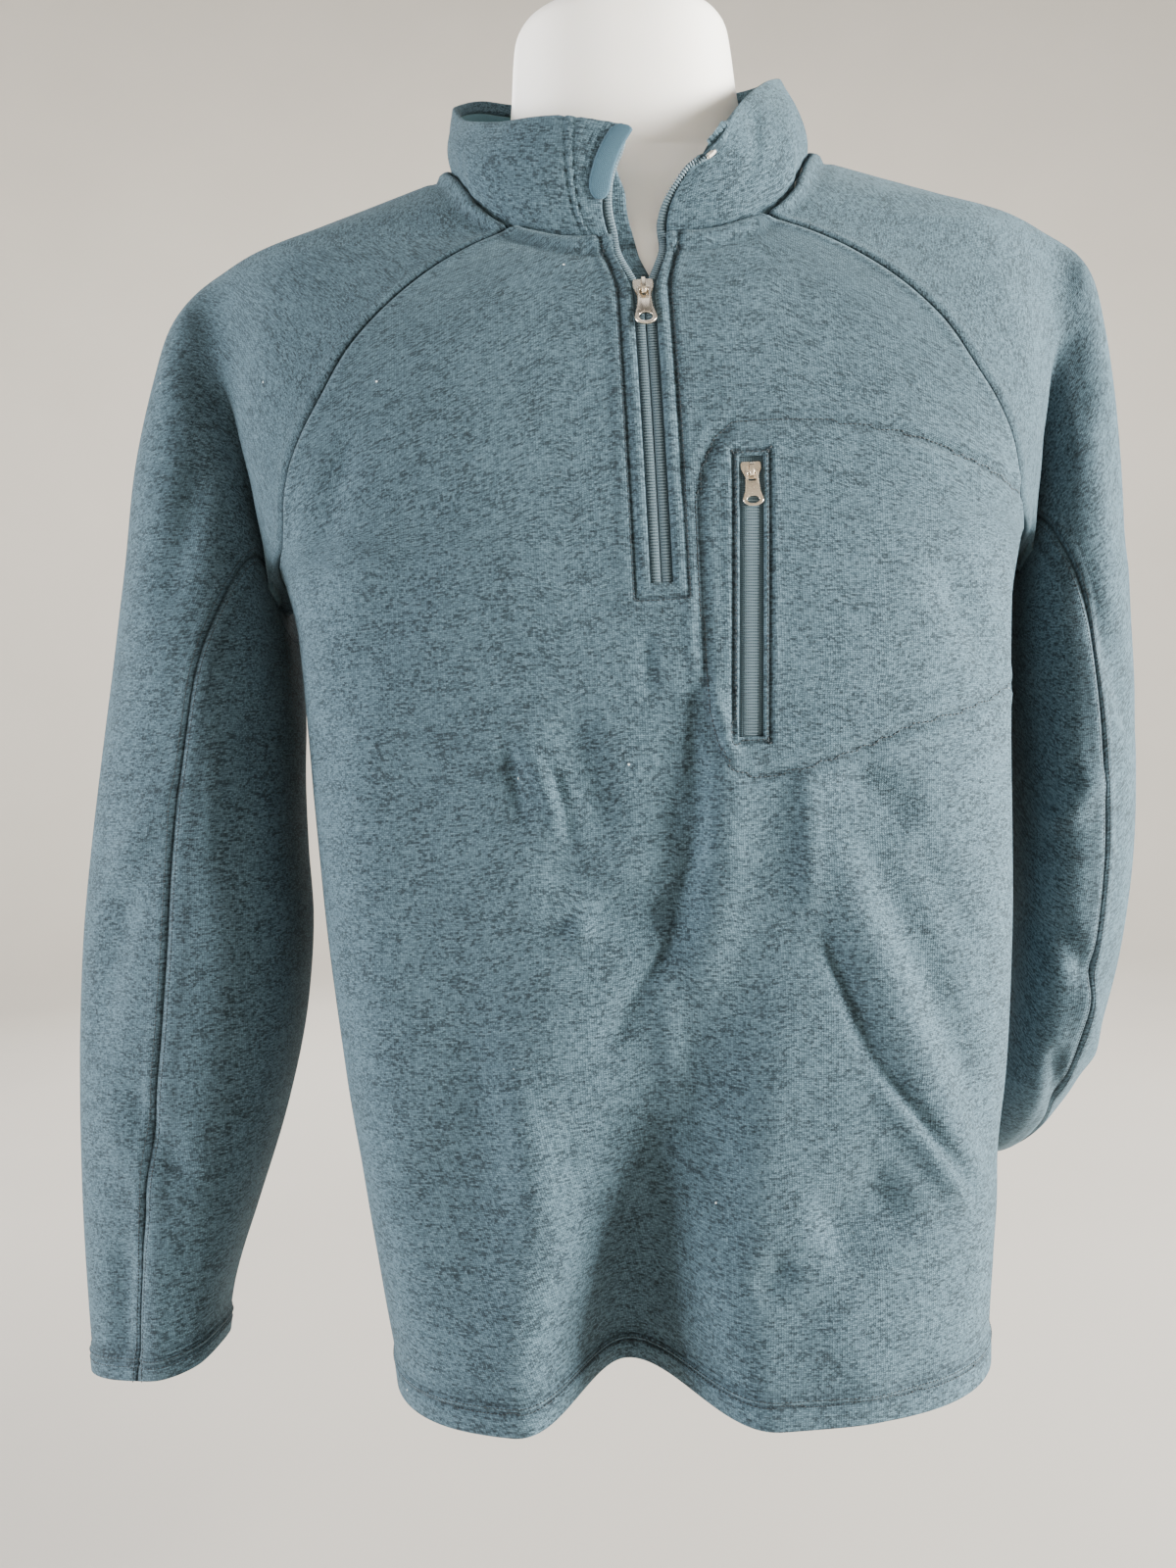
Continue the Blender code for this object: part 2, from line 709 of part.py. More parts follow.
def sleeve_normals(table, side, shares, rows):
    """Outward normals of a sleeve."""
    shares = np.asarray(shares, float)
    rows = np.asarray(rows, float)
    last = len(table) + 2
    later = sleeve_points(table, side, shares + 0.006, rows)
    round_it = later - sleeve_points(table, side, shares - 0.006, rows)
    ahead = np.minimum(rows + 0.12, last)
    behind = np.maximum(rows - 0.12, 0)
    along = sleeve_points(table, side, shares, ahead) - sleeve_points(table, side, shares, behind)
    normals = unit(np.cross(round_it, along)) * side
    for i in np.flatnonzero(rows < 0.01):
        flat = worn_normal(*sleeve_seam_ring(shares[i])[:2]) * np.array([side, 1, 1])
        away = fade(np.abs(np.mod(shares[i] + 0.5, 1.0) - 0.5), 0.05, 0.13)[..., None]
        normals[i] = unit(flat * away + normals[i] * (1 - away))
    return normals


def collar_points(shares, rises, lift=0.0):
    """Points of the collar: share of the way round, share of the way up, and lift off its face."""
    shares, rises = np.broadcast_arrays(np.asarray(shares, float), np.asarray(rises, float))

    def at(place_round, rise):
        turn = smooth(place_round, COLLAR, 1)
        turn = np.where(turn < -2, turn + 4, turn)
        seam = worn(turn, neck_drop(turn))
        seam = seam + worn_normal(turn, neck_drop(turn)) * 0.2
        seam[..., 2] -= 1.8
        top = np.stack([smooth(place_round, COLLAR, k) for k in (2, 3, 4)], axis=-1)
        middle = (seam + top) / 2
        away = unit(middle * np.array([1, 1, 0]))
        bulge = smooth(place_round, COLLAR, 5) * 4 * rise * (1 - rise)
        return seam + (top - seam) * rise[..., None] + away * bulge[..., None]

    points = at(shares, rises)
    round_it = at(np.minimum(shares + 0.006, 1), rises) - at(np.maximum(shares - 0.006, 0), rises)
    up = at(shares, np.minimum(rises + 0.04, 1)) - at(shares, np.maximum(rises - 0.04, 0))
    normal = unit(np.cross(round_it, up))
    outside = points * np.array([1, 1, 0])
    normal = normal * np.sign((normal * outside).sum(-1))[..., None]
    return points + normal * np.asarray(lift)[..., None], normal


# ---------------------------------------------------------------- hard pieces
def box(maker, size, centre):
    """A box added to a bmesh, in millimetres."""
    matrix = Matrix.Translation(Vector(centre)) @ Matrix.Diagonal((*size, 1.0))
    bmesh.ops.create_cube(maker, size=1.0, matrix=matrix)


def prism(outline, low, high):
    """A closed prism from an outline in u and v, between two heights w."""
    maker = bmesh.new()
    lower = [maker.verts.new((u, v, low)) for u, v in outline]
    upper = [maker.verts.new((u, v, high)) for u, v in outline]
    maker.faces.new(lower[::-1])
    maker.faces.new(upper)
    for i, start in enumerate(lower):
        j = (i + 1) % len(lower)
        maker.faces.new((start, lower[j], upper[j], upper[i]))
    bmesh.ops.recalc_face_normals(maker, faces=maker.faces)
    return maker


def as_object(name, maker, collection):
    """A bmesh as an object."""
    mesh = bpy.data.meshes.new(name)
    maker.to_mesh(mesh)
    maker.free()
    made = bpy.data.objects.new(name, mesh)
    collection.objects.link(made)
    return made


def combine(target, tools, operation):
    """Apply a boolean of each tool to the target, then remove the tools."""
    for tool in tools:
        step = target.modifiers.new("combine", "BOOLEAN")
        step.operation = operation
        step.solver = "EXACT"
        step.object = tool
        bpy.context.view_layer.update()
        graph = bpy.context.evaluated_depsgraph_get()
        mesh = bpy.data.meshes.new_from_object(target.evaluated_get(graph))
        target.modifiers.clear()
        target.data = mesh
        bpy.data.objects.remove(tool, do_unlink=True)
    return target


def arc(centre, radius, start, end, count):
    """Points of an arc, in degrees."""
    return [
        (centre[0] + radius * math.cos(math.radians(a)), centre[1] + radius * math.sin(math.radians(a)))
        for a in np.linspace(start, end, count)
    ]


def slider_shape(name, size, collection):
    """A zip slider's front plate with the bridge that the pull hangs from."""
    half = [(3.0, -6.2), (3.4, -4.2), (5.0, 0.5), (5.2, 4.0), (4.4, 6.2)]
    outline = [(-u, v) for u, v in half[::-1]] + half
    plate = as_object(name, prism([(u * size, v * size) for u, v in outline], 0.0, 1.5 * size), collection)
    tools = []
    for at in (3.9, -3.9):
        maker = bmesh.new()
        box(maker, (2.0 * size, 1.3 * size, 3.4 * size), (0, at * size, 2.6 * size))
        tools.append(as_object("post", maker, collection))
    maker = bmesh.new()
    box(maker, (2.0 * size, 9.1 * size, 1.2 * size), (0, 0, 4.8 * size))
    tools.append(as_object("bridge", maker, collection))
    return combine(plate, tools, "UNION")


PULL_PIVOT = (0.0, -1.2, 2.9)  # in the slider's own u, v and w, before its size


def pull_shape(name, size, length, half, collection):
    """A zip pull with the loop round the bridge and a round eye at its end, about its own pivot."""
    outline = [
        *arc((0, -length + half), half, 180, 360, 9),
        (half, -9.0),
        (3.1, -7.0),
        (3.1, 0.9),
        (-3.1, 0.9),
        (-3.1, -7.0),
        (-half, -9.0),
    ]
    outline = [(u * size, v * size) for u, v in outline]
    plate = as_object(name, prism(outline, -0.75 * size, 0.75 * size), collection)
    maker = bmesh.new()
    box(maker, (3.4 * size, 6.0 * size, 4.0 * size), (0, -3.8 * size, 0))
    window = as_object("window", maker, collection)
    eye = prism(arc((0, (-length + half) * size), 1.7 * size, 0, 324, 10), -2, 2)
    eye = as_object("eye", eye, collection)
    return combine(plate, [window, eye], "DIFFERENCE")


def stand_on(made, centre, outward, offset, material):
    """Move a hard piece's mesh from its own u, v and w onto the surface, origin at its pivot."""
    outward = unit(place(np.array([0, 0, 0]) + outward) - place(np.zeros(3)))
    across = np.array([1.0, 0.0, 0.0])
    outward = unit(outward - across * outward.dot(across))
    up = np.cross(outward, across)
    frame = np.stack([across, up, outward], axis=1)
    origin = place(np.asarray(centre, float)) + frame @ (np.asarray(offset, float) * MM)
    for vertex in made.data.vertices:
        vertex.co = frame @ (np.array(vertex.co) * MM)
    made.location = origin
    made.data.materials.clear()
    made.data.materials.append(material)
    made.data.set_sharp_from_angle(angle=math.radians(35))


def opening_strip(side, beyond, inside, drops, rises):
    """Two edges of a strip along one side of the front opening, up the front and the collar.

    beyond is how far it reaches past the cloth's edge into the opening, inside how far behind it.
    """
    points = []
    normals = []
    for drop in drops:
        edge = float(slot_half(drop))
        ends = side * turn_of_x(np.array([max(edge - beyond, 0.2), edge + inside]), drop)
        if edge - beyond < 0:
            ends[0] = -side * turn_of_x(np.array(beyond - edge), drop)
        ease = max(0.0, 1 - (drop - NECK_CORNER_DROP) / 60)
        level = drop + (float(neck_drop(0.03)) - NECK_CORNER_DROP) * ease
        found = worn_normal(ends, level)
        points.append(worn(ends, level) - found * (0.9 if drop < 145 else 0.0))
        normals.append(found)
    start, step = (0.0, 0.01) if side < 0 else (1.0, -0.01)
    for rise in rises:
        (edge, near), found = collar_points(np.array([start, start + step]), rise)
        along = unit(edge - near)
        edge = edge - found[0] * (0.9 if rise < 0.1 else 0.0)
        points.append(np.stack([edge + along * beyond, edge - along * min(inside, 4.2)]))
        normals.append(np.stack([found[0], found[0]]))
    return np.array(points), np.array(normals)


def front_zip(parts, tape, knit, guard, metal):
    """The front zip's two tapes, its slider and pull, the flap behind and the chin guard."""
    drops = [346, ZIP_END_DROP, 306, POCKET_TOP[1], 256, 233, 209, 186, 166, 152, 143]
    rises = [0.06, 0.25, 0.5, 0.75, 0.97]
    for label, side in (("right", -1), ("left", 1)):
        points, normals = opening_strip(side, 5.4, 8.0, drops, rises)
        wall(f"front_zip_tape_{label}", points, normals, TAPE, tape, parts, lift=-(CLOTH + LAYER_GAP))
    points, normals = opening_strip(-1, 10.0, 9.5, [352, *drops[1:]], [0.06, 0.25, 0.5, 0.75, 0.92])
    wall("wind_flap", points, normals, FACING, knit, parts, lift=-(CLOTH + 2 * LAYER_GAP + TAPE))

    rows = []
    for rise in np.linspace(0.36, 1.0, 5):
        (edge, near), found = collar_points(np.array([0.0, 0.01]), rise)
        along = unit(edge - near)
        half = 8.5 if rise > 0.5 else 6.5
        rows.append((edge + along * (half - 2.5), edge - along * (half + 2.5), found[0], found[0]))
    rows = np.array(rows)
    wall("chin_guard", rows[:, :2], rows[:, 2:], 1.2, guard, parts, lift=LAYER_GAP + 1.2)

    hang_slider("front", 1.0, 21.5, 3.5, 0.0, SLIDER_CENTRE, parts, metal)


def hang_slider(label, size, length, half, x, drop, parts, metal):
    """A slider on its zip and the pull that swings on it."""
    turn = float(turn_of_x(np.array(abs(x)), drop))
    level = drop + (9.5 * max(0.0, 1 - (drop - NECK_CORNER_DROP) / 60) if abs(x) < 1 else 0.0)
    outward = worn_normal(turn, level)
    seat = worn(turn, level) - outward * (CLOTH + LAYER_GAP - 0.3)
    slider = slider_shape(f"{label}_slider", size, parts)
    stand_on(slider, seat, outward, (0, 0, 0), metal)
    pull = pull_shape(f"{label}_pull", size, length, half, parts)
    stand_on(pull, seat, outward, [value * size for value in PULL_PIVOT], metal)


def pocket(parts, tape, knit, metal):
    """The chest pocket's zip, slider and pull, and the bag behind it that its stitching shows."""
    drops = np.array([270, POCKET_TOP[1], 306, ZIP_END_DROP, 354, 373, 393, POCKET_END[1], 415])
    turns = np.stack([turn_of_x(pocket_x(drops) + across, drops) for across in (-9.5, 0, 9.5)], axis=1)
    levels = np.repeat(drops[:, None], 3, axis=1)
    lift = -(CLOTH + LAYER_GAP)
    normals = worn_normal(turns, levels)
    wall("pocket_zip_tape", worn(turns, levels), normals, TAPE, tape, parts, lift=lift)
    x = POCKET_BAG[:, 0]
    share = np.linspace(0, 1, 9)[:, None]
    levels = POCKET_BAG[:, 1] + (POCKET_BAG[:, 2] - POCKET_BAG[:, 1]) * share
    turns = turn_of_x(np.repeat(x[None, :], 9, axis=0), levels)
    lift = -(CLOTH + 2 * LAYER_GAP + TAPE + 0.6)
    wall("pocket_bag", worn(turns, levels), worn_normal(turns, levels), BAG, knit, parts, lift=lift)
    centre = 283.0
    hang_slider("pocket", 0.72, 23.6, 3.6, float(pocket_x(centre)), centre, parts, metal)


def form_grid(drops, count):
    """Rows of points round the form."""
    turns = np.concatenate([np.linspace(-2, 2, count + 1)[:-1]])
    rows = []
    for drop in drops:
        if drop <= NECK_FORM[-1, 0]:
            rows.append(section_point(NECK_FORM, turns, drop))
            continue
        base = section_point(TRUNK, turns, max(drop - FORM_LOWER, TRUNK[0, 0]))
        half, front, back = (smooth(drop, FORM_TAKEN_IN, k) for k in (1, 2, 3))
        full = [smooth(max(drop - FORM_LOWER, 58), TRUNK, k) for k in (1, 2, 3)]
        x = base[:, 0] * (1 - half / full[0])
        y = base[:, 1] * np.where(base[:, 1] < 0, 1 - front / full[1], 1 - back / full[2])
        rows.append(np.stack([x, y, np.full(x.shape, float(drop))], axis=-1))
    return rows


# ---------------------------------------------------------------- the object
def main():
    """Build every piece of the pullover and its form."""
    for old in list(bpy.data.objects):
        bpy.data.objects.remove(old, do_unlink=True)
    parts = bpy.data.collections.new("fleece_pullover_on_form")
    bpy.context.scene.collection.children.link(parts)

    fleece = {
        name: material_of(name, colour, 0.95)
        for name, colour in {
            "fleece_front": (0.10, 0.165, 0.20),
            "fleece_back": (0.09, 0.15, 0.185),
            "fleece_sleeve": (0.095, 0.157, 0.192),
            "fleece_under_sleeve": (0.085, 0.145, 0.178),
            "fleece_collar": (0.11, 0.178, 0.214),
        }.items()
    }
    knit = material_of("plain_knit", (0.16, 0.27, 0.31), 0.9)
    tape = material_of("zip_tape", (0.09, 0.15, 0.22), 0.8)
    guard = material_of("guard_knit", (0.12, 0.19, 0.27), 0.9)
    metal = material_of("slider_metal", (0.42, 0.38, 0.32), 0.35, 1.0)
    shell = material_of("form_shell", (0.82, 0.82, 0.80), 0.35)
    steel = material_of("hook_steel", (0.6, 0.6, 0.62), 0.25, 1.0)

    # front: cut in one, slit for the zip and with a window for the pocket's zip
    front_seam_drops = [NECK_CORNER_DROP, 152, 166, 186, 209, 233, 256, POCKET_TOP[1], 294, 306, 314]
    upper_drops = [322, ZIP_END_DROP, 354, 373, 393, POCKET_END[1], 436, 462, 490, 520, 552]
    lower_drops = [585, 618, 650, 682, 713, 736, HEM_DROP]
    drops = np.array([*front_seam_drops, *upper_drops, *lower_drops])
    turns, lines, (slit_column, window_column) = front_grid(drops, 15, 3, 12)
    keep = np.ones((len(drops) - 1, turns.shape[1] - 1), bool)
    keep[drops[:-1] < ZIP_END_DROP, slit_column] = False
    keep[(drops[:-1] >= POCKET_TOP[1]) & (drops[:-1] < POCKET_END[1]), window_column] = False
    points = worn(turns, lines)
    points[:, -1] -= seam_shift(front_edge_turn, drops)
    points[:, 0] -= seam_shift(front_edge_turn, drops) * np.array([-1, 1, 1])
    wall("front_panel", points, worn_normal(turns, lines), CLOTH, fleece["fleece_front"], parts, keep)

    # back
    back_seam_drops = [BACK_SEAM_TOP, 92, 106, 119, 127, 136, 150, 172, 204, 240, 272, 297, 311]
    lower_drops = [322, 338, 356, 390, 430, 475, 520, 565, 610, 655, 700, 732, HEM_DROP]
    drops = np.array([*back_seam_drops, *lower_drops])
    turns, lines = back_grid(drops, 13)
    points = worn(turns, lines)
    points[:, -1] += seam_shift(back_edge_turn, drops)
    points[:, 0] += seam_shift(back_edge_turn, drops) * np.array([-1, 1, 1])
    wall("back_panel", points, worn_normal(turns, lines), CLOTH, fleece["fleece_back"], parts)

    # sleeves: an upper and an under piece each
    for label, table, side in (("right", SLEEVE_RIGHT, -1), ("left", SLEEVE_LEFT, 1)):
        last = len(table) + 2
        rows = [0, 0.5, 1, 1.5, 2, 2.5, 3, 3.4, 3.9]
        rows = np.array([*rows, *np.arange(4.5, last, 0.75)[:-1], last - 0.5, last])
        ahead = smooth(rows, UNDER_SLEEVE, 1)
        behind = smooth(rows, UNDER_SLEEVE, 2)
        gap = np.where(rows < 4.4, 7.0, 1.0) * SEAM_GAP / 2 / 380.0
        stations = seam_stations(front_seam_drops, back_seam_drops, 3)
        # the two seams start at a row of the front and of the back panel
        ahead[0] = stations[1]
        behind[0] = stations[-2] - 1
        inside = stations[(stations > ahead[0] + 0.01) & (stations < 1 + behind[0] - 0.01)]
        spread = (np.array([ahead[0], *inside, 1 + behind[0]]) - ahead[0]) / (1 + behind[0] - ahead[0])
        upper = np.stack([a + g + (1 + b - a - 2 * g) * spread for a, b, g in zip(ahead, behind, gap)])
        below = [*(stations - 1), 0.0, *stations]
        below = np.array([s for s in below if behind[0] + 0.01 < s < ahead[0] - 0.01])
        spread = (np.array([behind[0], *below, ahead[0]]) - behind[0]) / (ahead[0] - behind[0])
        under = np.stack([b + g + (a - b - 2 * g) * spread for a, b, g in zip(ahead, behind, gap)])
        # the very top of the under piece is worked with the upper one
        shares = np.hstack([under, upper])
        points = sleeve_points(table, side, shares, rows)
        normals = sleeve_normals(table, side, shares, rows)
        is_upper = np.zeros((len(rows) - 1, shares.shape[1]), bool)
        is_upper[:, under.shape[1] : -1] = True
        is_upper[rows[:-1] < 3.3] = True
        is_under = np.zeros(is_upper.shape, bool)
        is_under[rows[:-1] > 3.7, : under.shape[1] - 1] = True
        for name, slot, cells in (
            (f"sleeve_{label}", "fleece_sleeve", is_upper),
            (f"under_sleeve_{label}", "fleece_under_sleeve", is_under),
        ):
            wall(name, points, normals, CLOTH, fleece[slot], parts, cells, closed=True)

    # collar and its facing
    ends = [np.linspace(0.03, 0.36, 11), np.linspace(0.36, 0.64, 11)[1:]]
    around = np.concatenate([[0], *ends, np.linspace(0.64, 0.97, 11)[1:], [1]])
    up = np.array([0, 0.25, 0.5, 0.75, 1.0])
    grid_round, grid_up = np.meshgrid(around, up)
    points, normals = collar_points(grid_round, grid_up)
    wall("collar_outer", points, normals, CLOTH, fleece["fleece_collar"], parts)
    wall("collar_facing", points[:, 1:-1], normals[:, 1:-1], FACING, knit, parts, lift=-(CLOTH + LAYER_GAP))
    front_zip(parts, tape, knit, guard, metal)
    pocket(parts, tape, knit, metal)

    # form and hook
    drops = [0, 1.4, 5, 11, 20, 42, 60, 74, 84, 91, 97, 104, 112, 121, 131, 140, 152, 170, 198]
    drops = [*drops, 238, 278, 318, 356, 410, 465, 520, 565]
    drops = [*drops, FORM_BOTTOM - 9, FORM_BOTTOM - 3, FORM_BOTTOM]
    rows = form_grid(drops, 36)
    for index, inset in ((-2, 0.985), (-1, 0.94)):
        rows[index] = rows[index] * np.array([inset, inset, 1])
    maker = bmesh.new()
    loops = [[maker.verts.new(p) for p in place(row)] for row in rows]
    for upper_loop, lower_loop in zip(loops, loops[1:]):
        for i in range(len(upper_loop)):
            j = (i + 1) % len(upper_loop)
            maker.faces.new((upper_loop[i], upper_loop[j], lower_loop[j], lower_loop[i]))
    maker.faces.new(loops[0])
    maker.faces.new(loops[-1][::-1])
    finish_mesh("form_torso", maker, shell, parts)

    nut = prism(arc((0.0, 0.0), 8.0, 0, 300, 6), 0.3, 9.5)
    nut = as_object("hook_nut", nut, parts)
    for vertex in nut.data.vertices:
        vertex.co = Vector(place(np.array([vertex.co.x, vertex.co.y, -vertex.co.z])))
    nut.data.materials.append(steel)

    path = [(0.0, 9.9), (0.0, 20.0), *arc((0.0, HOOK_CENTRE_RISE), HOOK_RADIUS, -90, HOOK_END, 28)]
    curve = bpy.data.curves.new("hook_wire", "CURVE")
    curve.dimensions = "3D"
    curve.bevel_depth = HOOK_WIRE / 2 * MM
    curve.bevel_resolution = 2
    curve.use_fill_caps = True
    spline = curve.splines.new("POLY")
    spline.points.add(len(path) - 1)
    for point, (u, v) in zip(spline.points, path):
        point.co = (*place(np.array([u, 0.0, -v])), 1.0)
    wire = bpy.data.objects.new("hook_wire", curve)
    curve.materials.append(steel)
    parts.objects.link(wire)


main()
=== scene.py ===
"""Looks of a quarter-zip fleece pullover filled out on a white hanging torso form.

The garment is drawn in millimetres as (x, y, drop), as its solids are: x to the viewer's right,
y away from the viewer, and drop measured down from the top of the form's neck. place() turns that
into the row frame. Every cloth piece is a fine shell on the same worn surface as its solid, with
the folds, seams and turned edges that the cloth shows. Knit patterns read the piece's own map,
in metres of cloth, so the courses run round the body and the sleeves as they are knitted.
"""

from __future__ import annotations

import logging
import math
from dataclasses import dataclass, field
from enum import Enum

import bmesh
import bpy
import numpy as np
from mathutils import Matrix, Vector


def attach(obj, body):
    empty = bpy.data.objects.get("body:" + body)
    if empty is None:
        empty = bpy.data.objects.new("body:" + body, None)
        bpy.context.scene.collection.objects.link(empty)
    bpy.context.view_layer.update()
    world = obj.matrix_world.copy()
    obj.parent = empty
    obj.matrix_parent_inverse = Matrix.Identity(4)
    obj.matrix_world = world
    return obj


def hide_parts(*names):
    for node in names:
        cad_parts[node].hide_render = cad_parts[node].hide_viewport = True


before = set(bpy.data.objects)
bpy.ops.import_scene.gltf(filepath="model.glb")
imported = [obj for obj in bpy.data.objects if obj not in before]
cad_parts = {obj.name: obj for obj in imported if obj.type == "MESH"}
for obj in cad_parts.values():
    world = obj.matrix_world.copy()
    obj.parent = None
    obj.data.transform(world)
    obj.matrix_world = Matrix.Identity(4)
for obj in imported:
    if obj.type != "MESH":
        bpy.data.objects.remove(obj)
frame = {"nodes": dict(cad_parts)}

LOG = logging.getLogger("fleece_pullover")
MM = 0.001
ROOT = "pullover_on_form"
Array = np.ndarray
Piece = bpy.types.Object
Socket = bpy.types.NodeSocket
Line = list[tuple[float, float]]
Runs = list[tuple[Array, Array]]  # points of each line in mm, and the cloth's normals there

# ------------------------------------------------------------------ sizes of the solids, mm
CLOTH = 2.0
FACING = 1.3
TAPE = 1.0
SEAM_GAP = 0.04  # sewn edges touch here; the solids stand 0.4 apart
LAYER_GAP = 0.35
ROUNDING = 0.48  # share of its thickness by which a cut edge is rounded
FAR = 99.0  # a distance that plays no part
NECK_CORNER_DROP = 141.0
NECK_CORNER_TURN = 0.165
RIDGE_TURN = 1.124  # where the shoulder seam meets the neck seam
NECK_BEND = 60.0  # how far down the front the rows still bend to follow the neck seam
UNDERARM_DROP = 321.0
UNDERARM_EASE = 298.0  # drop from which the raglan seam eases into the side seam
HEM_DROP = 752.0
ZIP_END_DROP = 336.0
SLIDER_DROP = 186.0
SLIDER_CENTRE = 180.0
SLOT_HALF = 5.6
COLLAR_SLOT_HALF = 14.0
FORM_BOTTOM = 600.0
FORM_LOWER = 4.0
HOOK_WIRE = 4.0
HOOK_RADIUS = 23.0
HOOK_CENTRE_RISE = 56.0
HOOK_END = 186.0
HOOK_RISE = HOOK_CENTRE_RISE + HOOK_RADIUS - HOOK_WIRE / 2
FOLD_LIFT = 0.17
BACK_SEAM_TOP = 80.0
POCKET_TOP = (47.0, 276.0)
POCKET_END = (40.0, 413.0)
POCKET_HALF = 6.0
POCKET_SLIDER_DROP = 283.0
HEM_STITCHES = (12.0, 16.0)  # above the edge
CUFF_STITCHES = (9.5, 13.5)
PULL_PIVOT = (0.0, -1.2, 2.9)

# drop, half width, depth to the front, depth to the back, squareness of the trunk's section
TRUNK = np.array([
    (58, 78, 48, 50, 2.0), (72, 86, 52, 60, 2.0), (84, 102, 57, 68, 1.9), (95, 140, 62, 74, 1.65),
    (105, 172, 67, 79, 1.6), (115, 205, 71, 83, 1.65), (127, 238, 75, 88, 1.8), (140, 242, 79, 92, 2.1),
    (160, 240, 86, 97, 2.4), (190, 234, 98, 101, 2.7), (230, 227, 109, 104, 2.9),
    (270, 217, 116, 104, 3.0), (310, 205, 119, 102, 3.0), (345, 198, 119, 99, 3.0),
    (400, 195, 117, 95, 3.0), (460, 193, 115, 91, 3.0), (520, 190, 114, 89, 3.0),
    (580, 184, 114, 89, 3.0), (640, 176, 115, 91, 3.0), (700, 169, 117, 94, 3.0),
    (752, 163, 119, 97, 3.0), (790, 162, 120, 98, 3.0),
])
# drop and x of the front raglan seam
FRONT_SEAM = np.array([
    (141, 66), (150, 88), (162, 109), (181, 132), (204, 153), (227, 167), (246, 179), (264, 188),
    (277, 192), (291, 194.5), (304, 198), (313, 200.5), (320, 202),
])
# drop, and how far behind the side's middle the shoulder and armhole seam lies
BACK_SEAM = np.array([
    (80, 12), (95, 10), (112, 11), (124, 17), (132, 28), (145, 44), (168, 57), (200, 64), (245, 60),
    (280, 46), (303, 28), (319, 10),
])
# the deep fold at the centre front: drop, x of its bottom, depth, half width on each side
FRONT_FOLD = np.array([
    (430, 26, 0, 56, 40), (500, 14, 4, 58, 40), (560, 0, 11, 58, 42), (620, -16, 25, 55, 44),
    (680, -28, 43, 50, 48), (720, -34, 56, 46, 52), (752, -36, 66, 44, 55),
])
# drop of the sleeve's outer and inner side, middle x and y, half width, depth in front and
# behind, shift of the front ridge, and pitch back
SLEEVE_RIGHT = np.array([
    (154, 334, 235, 4, 27, 43, 50, -2, 0), (188, 347, 240, 4, 34, 54, 52, 0, 0),
    (236, 366, 247, 5, 41, 63, 54, -3, 0), (292, 391, 252, 5, 46, 67, 55, -6, 0),
    (350, 420, 258, 5, 51, 69, 54, -10, 0), (415, 460, 264, 5, 57, 69, 52, -15, 0),
    (480, 505, 269, 5, 63, 67, 50, -18, 0), (545, 556, 276, 5, 64, 62, 47, -18, 0),
    (610, 612, 285, 3, 58, 54, 44, -15, 0), (668, 664, 294, 0, 49, 47, 41, -14, -2),
    (716, 706, 301, -3, 41, 41, 39, -13, -3), (750, 738, 303, -5, 37, 38, 37, -12, -4),
])
SLEEVE_LEFT = np.array([
    (150, 334, 233, 6, 25, 42, 54, 1, 0), (186, 347, 236, 9, 30, 50, 58, 1, 0),
    (236, 366, 237, 12, 33, 62, 62, 0, 0), (292, 391, 238, 14, 35, 68, 65, -2, 0),
    (350, 420, 239, 16, 36, 70, 66, -4, 0), (415, 460, 240, 19, 37, 68, 66, -7, 3),
    (478, 508, 240, 26, 37, 64, 64, -8, 8), (536, 556, 237, 40, 36, 60, 60, -8, 18),
    (586, 600, 232, 62, 34, 56, 54, -6, 30), (622, 630, 226, 90, 32, 50, 48, -4, 42),
    (648, 652, 218, 122, 30, 45, 43, -2, 53), (662, 664, 208, 156, 29, 41, 40, 0, 62),
    (668, 669, 199, 184, 28, 39, 38, 0, 66),
])
# share of the way round a sleeve ring, and share of the way up from its inner side to its outer
RING_STATIONS = np.array([
    (0.0, 0.0), (0.05, 0.04), (0.1, 0.17), (0.14, 0.34), (0.28, 0.78), (0.39, 0.93), (0.5, 1.0),
    (0.64, 0.88), (0.77, 0.58), (0.86, 0.31), (0.9, 0.17), (0.95, 0.04),
])
# where the sleeve leaves the shoulder: share of the way round, turn and drop
ARM_EDGE = np.array([
    (0, 1.0, 325), (0.04, 0.955, 317), (0.07, 0.892, 309), (0.1, 0.846, 295), (0.14, 0.83, 264),
    (0.28, 0.8, 188), (0.39, 0.86, 146), (0.45, 0.93, 131), (0.5, 0.98, 128), (0.56, 1.01, 128),
    (0.64, 1.05, 132), (0.77, 1.17, 184), (0.86, 1.22, 262), (0.9, 1.195, 290), (0.93, 1.144, 303),
    (0.96, 1.08, 314), (1, 1.0, 325),
])
# row of the sleeve, and the shares where the under-sleeve's front and back seams run
UNDER_SLEEVE = np.array([
    (0, 0.035, -0.035), (1, 0.05, -0.05), (3, 0.1, -0.08), (5, 0.17, -0.1), (7, 0.25, -0.11),
    (9, 0.29, -0.11), (14, 0.3, -0.1),
])
# turn and drop of the neck seam
NECK_SEAM = np.array([
    (0.0, 152), (0.08, 150.5), (0.165, 141), (0.315, 117), (0.506, 97), (0.688, 88), (1.0, 82.5),
    (1.124, 80), (1.352, 78), (1.7, 75), (2.0, 73),
])
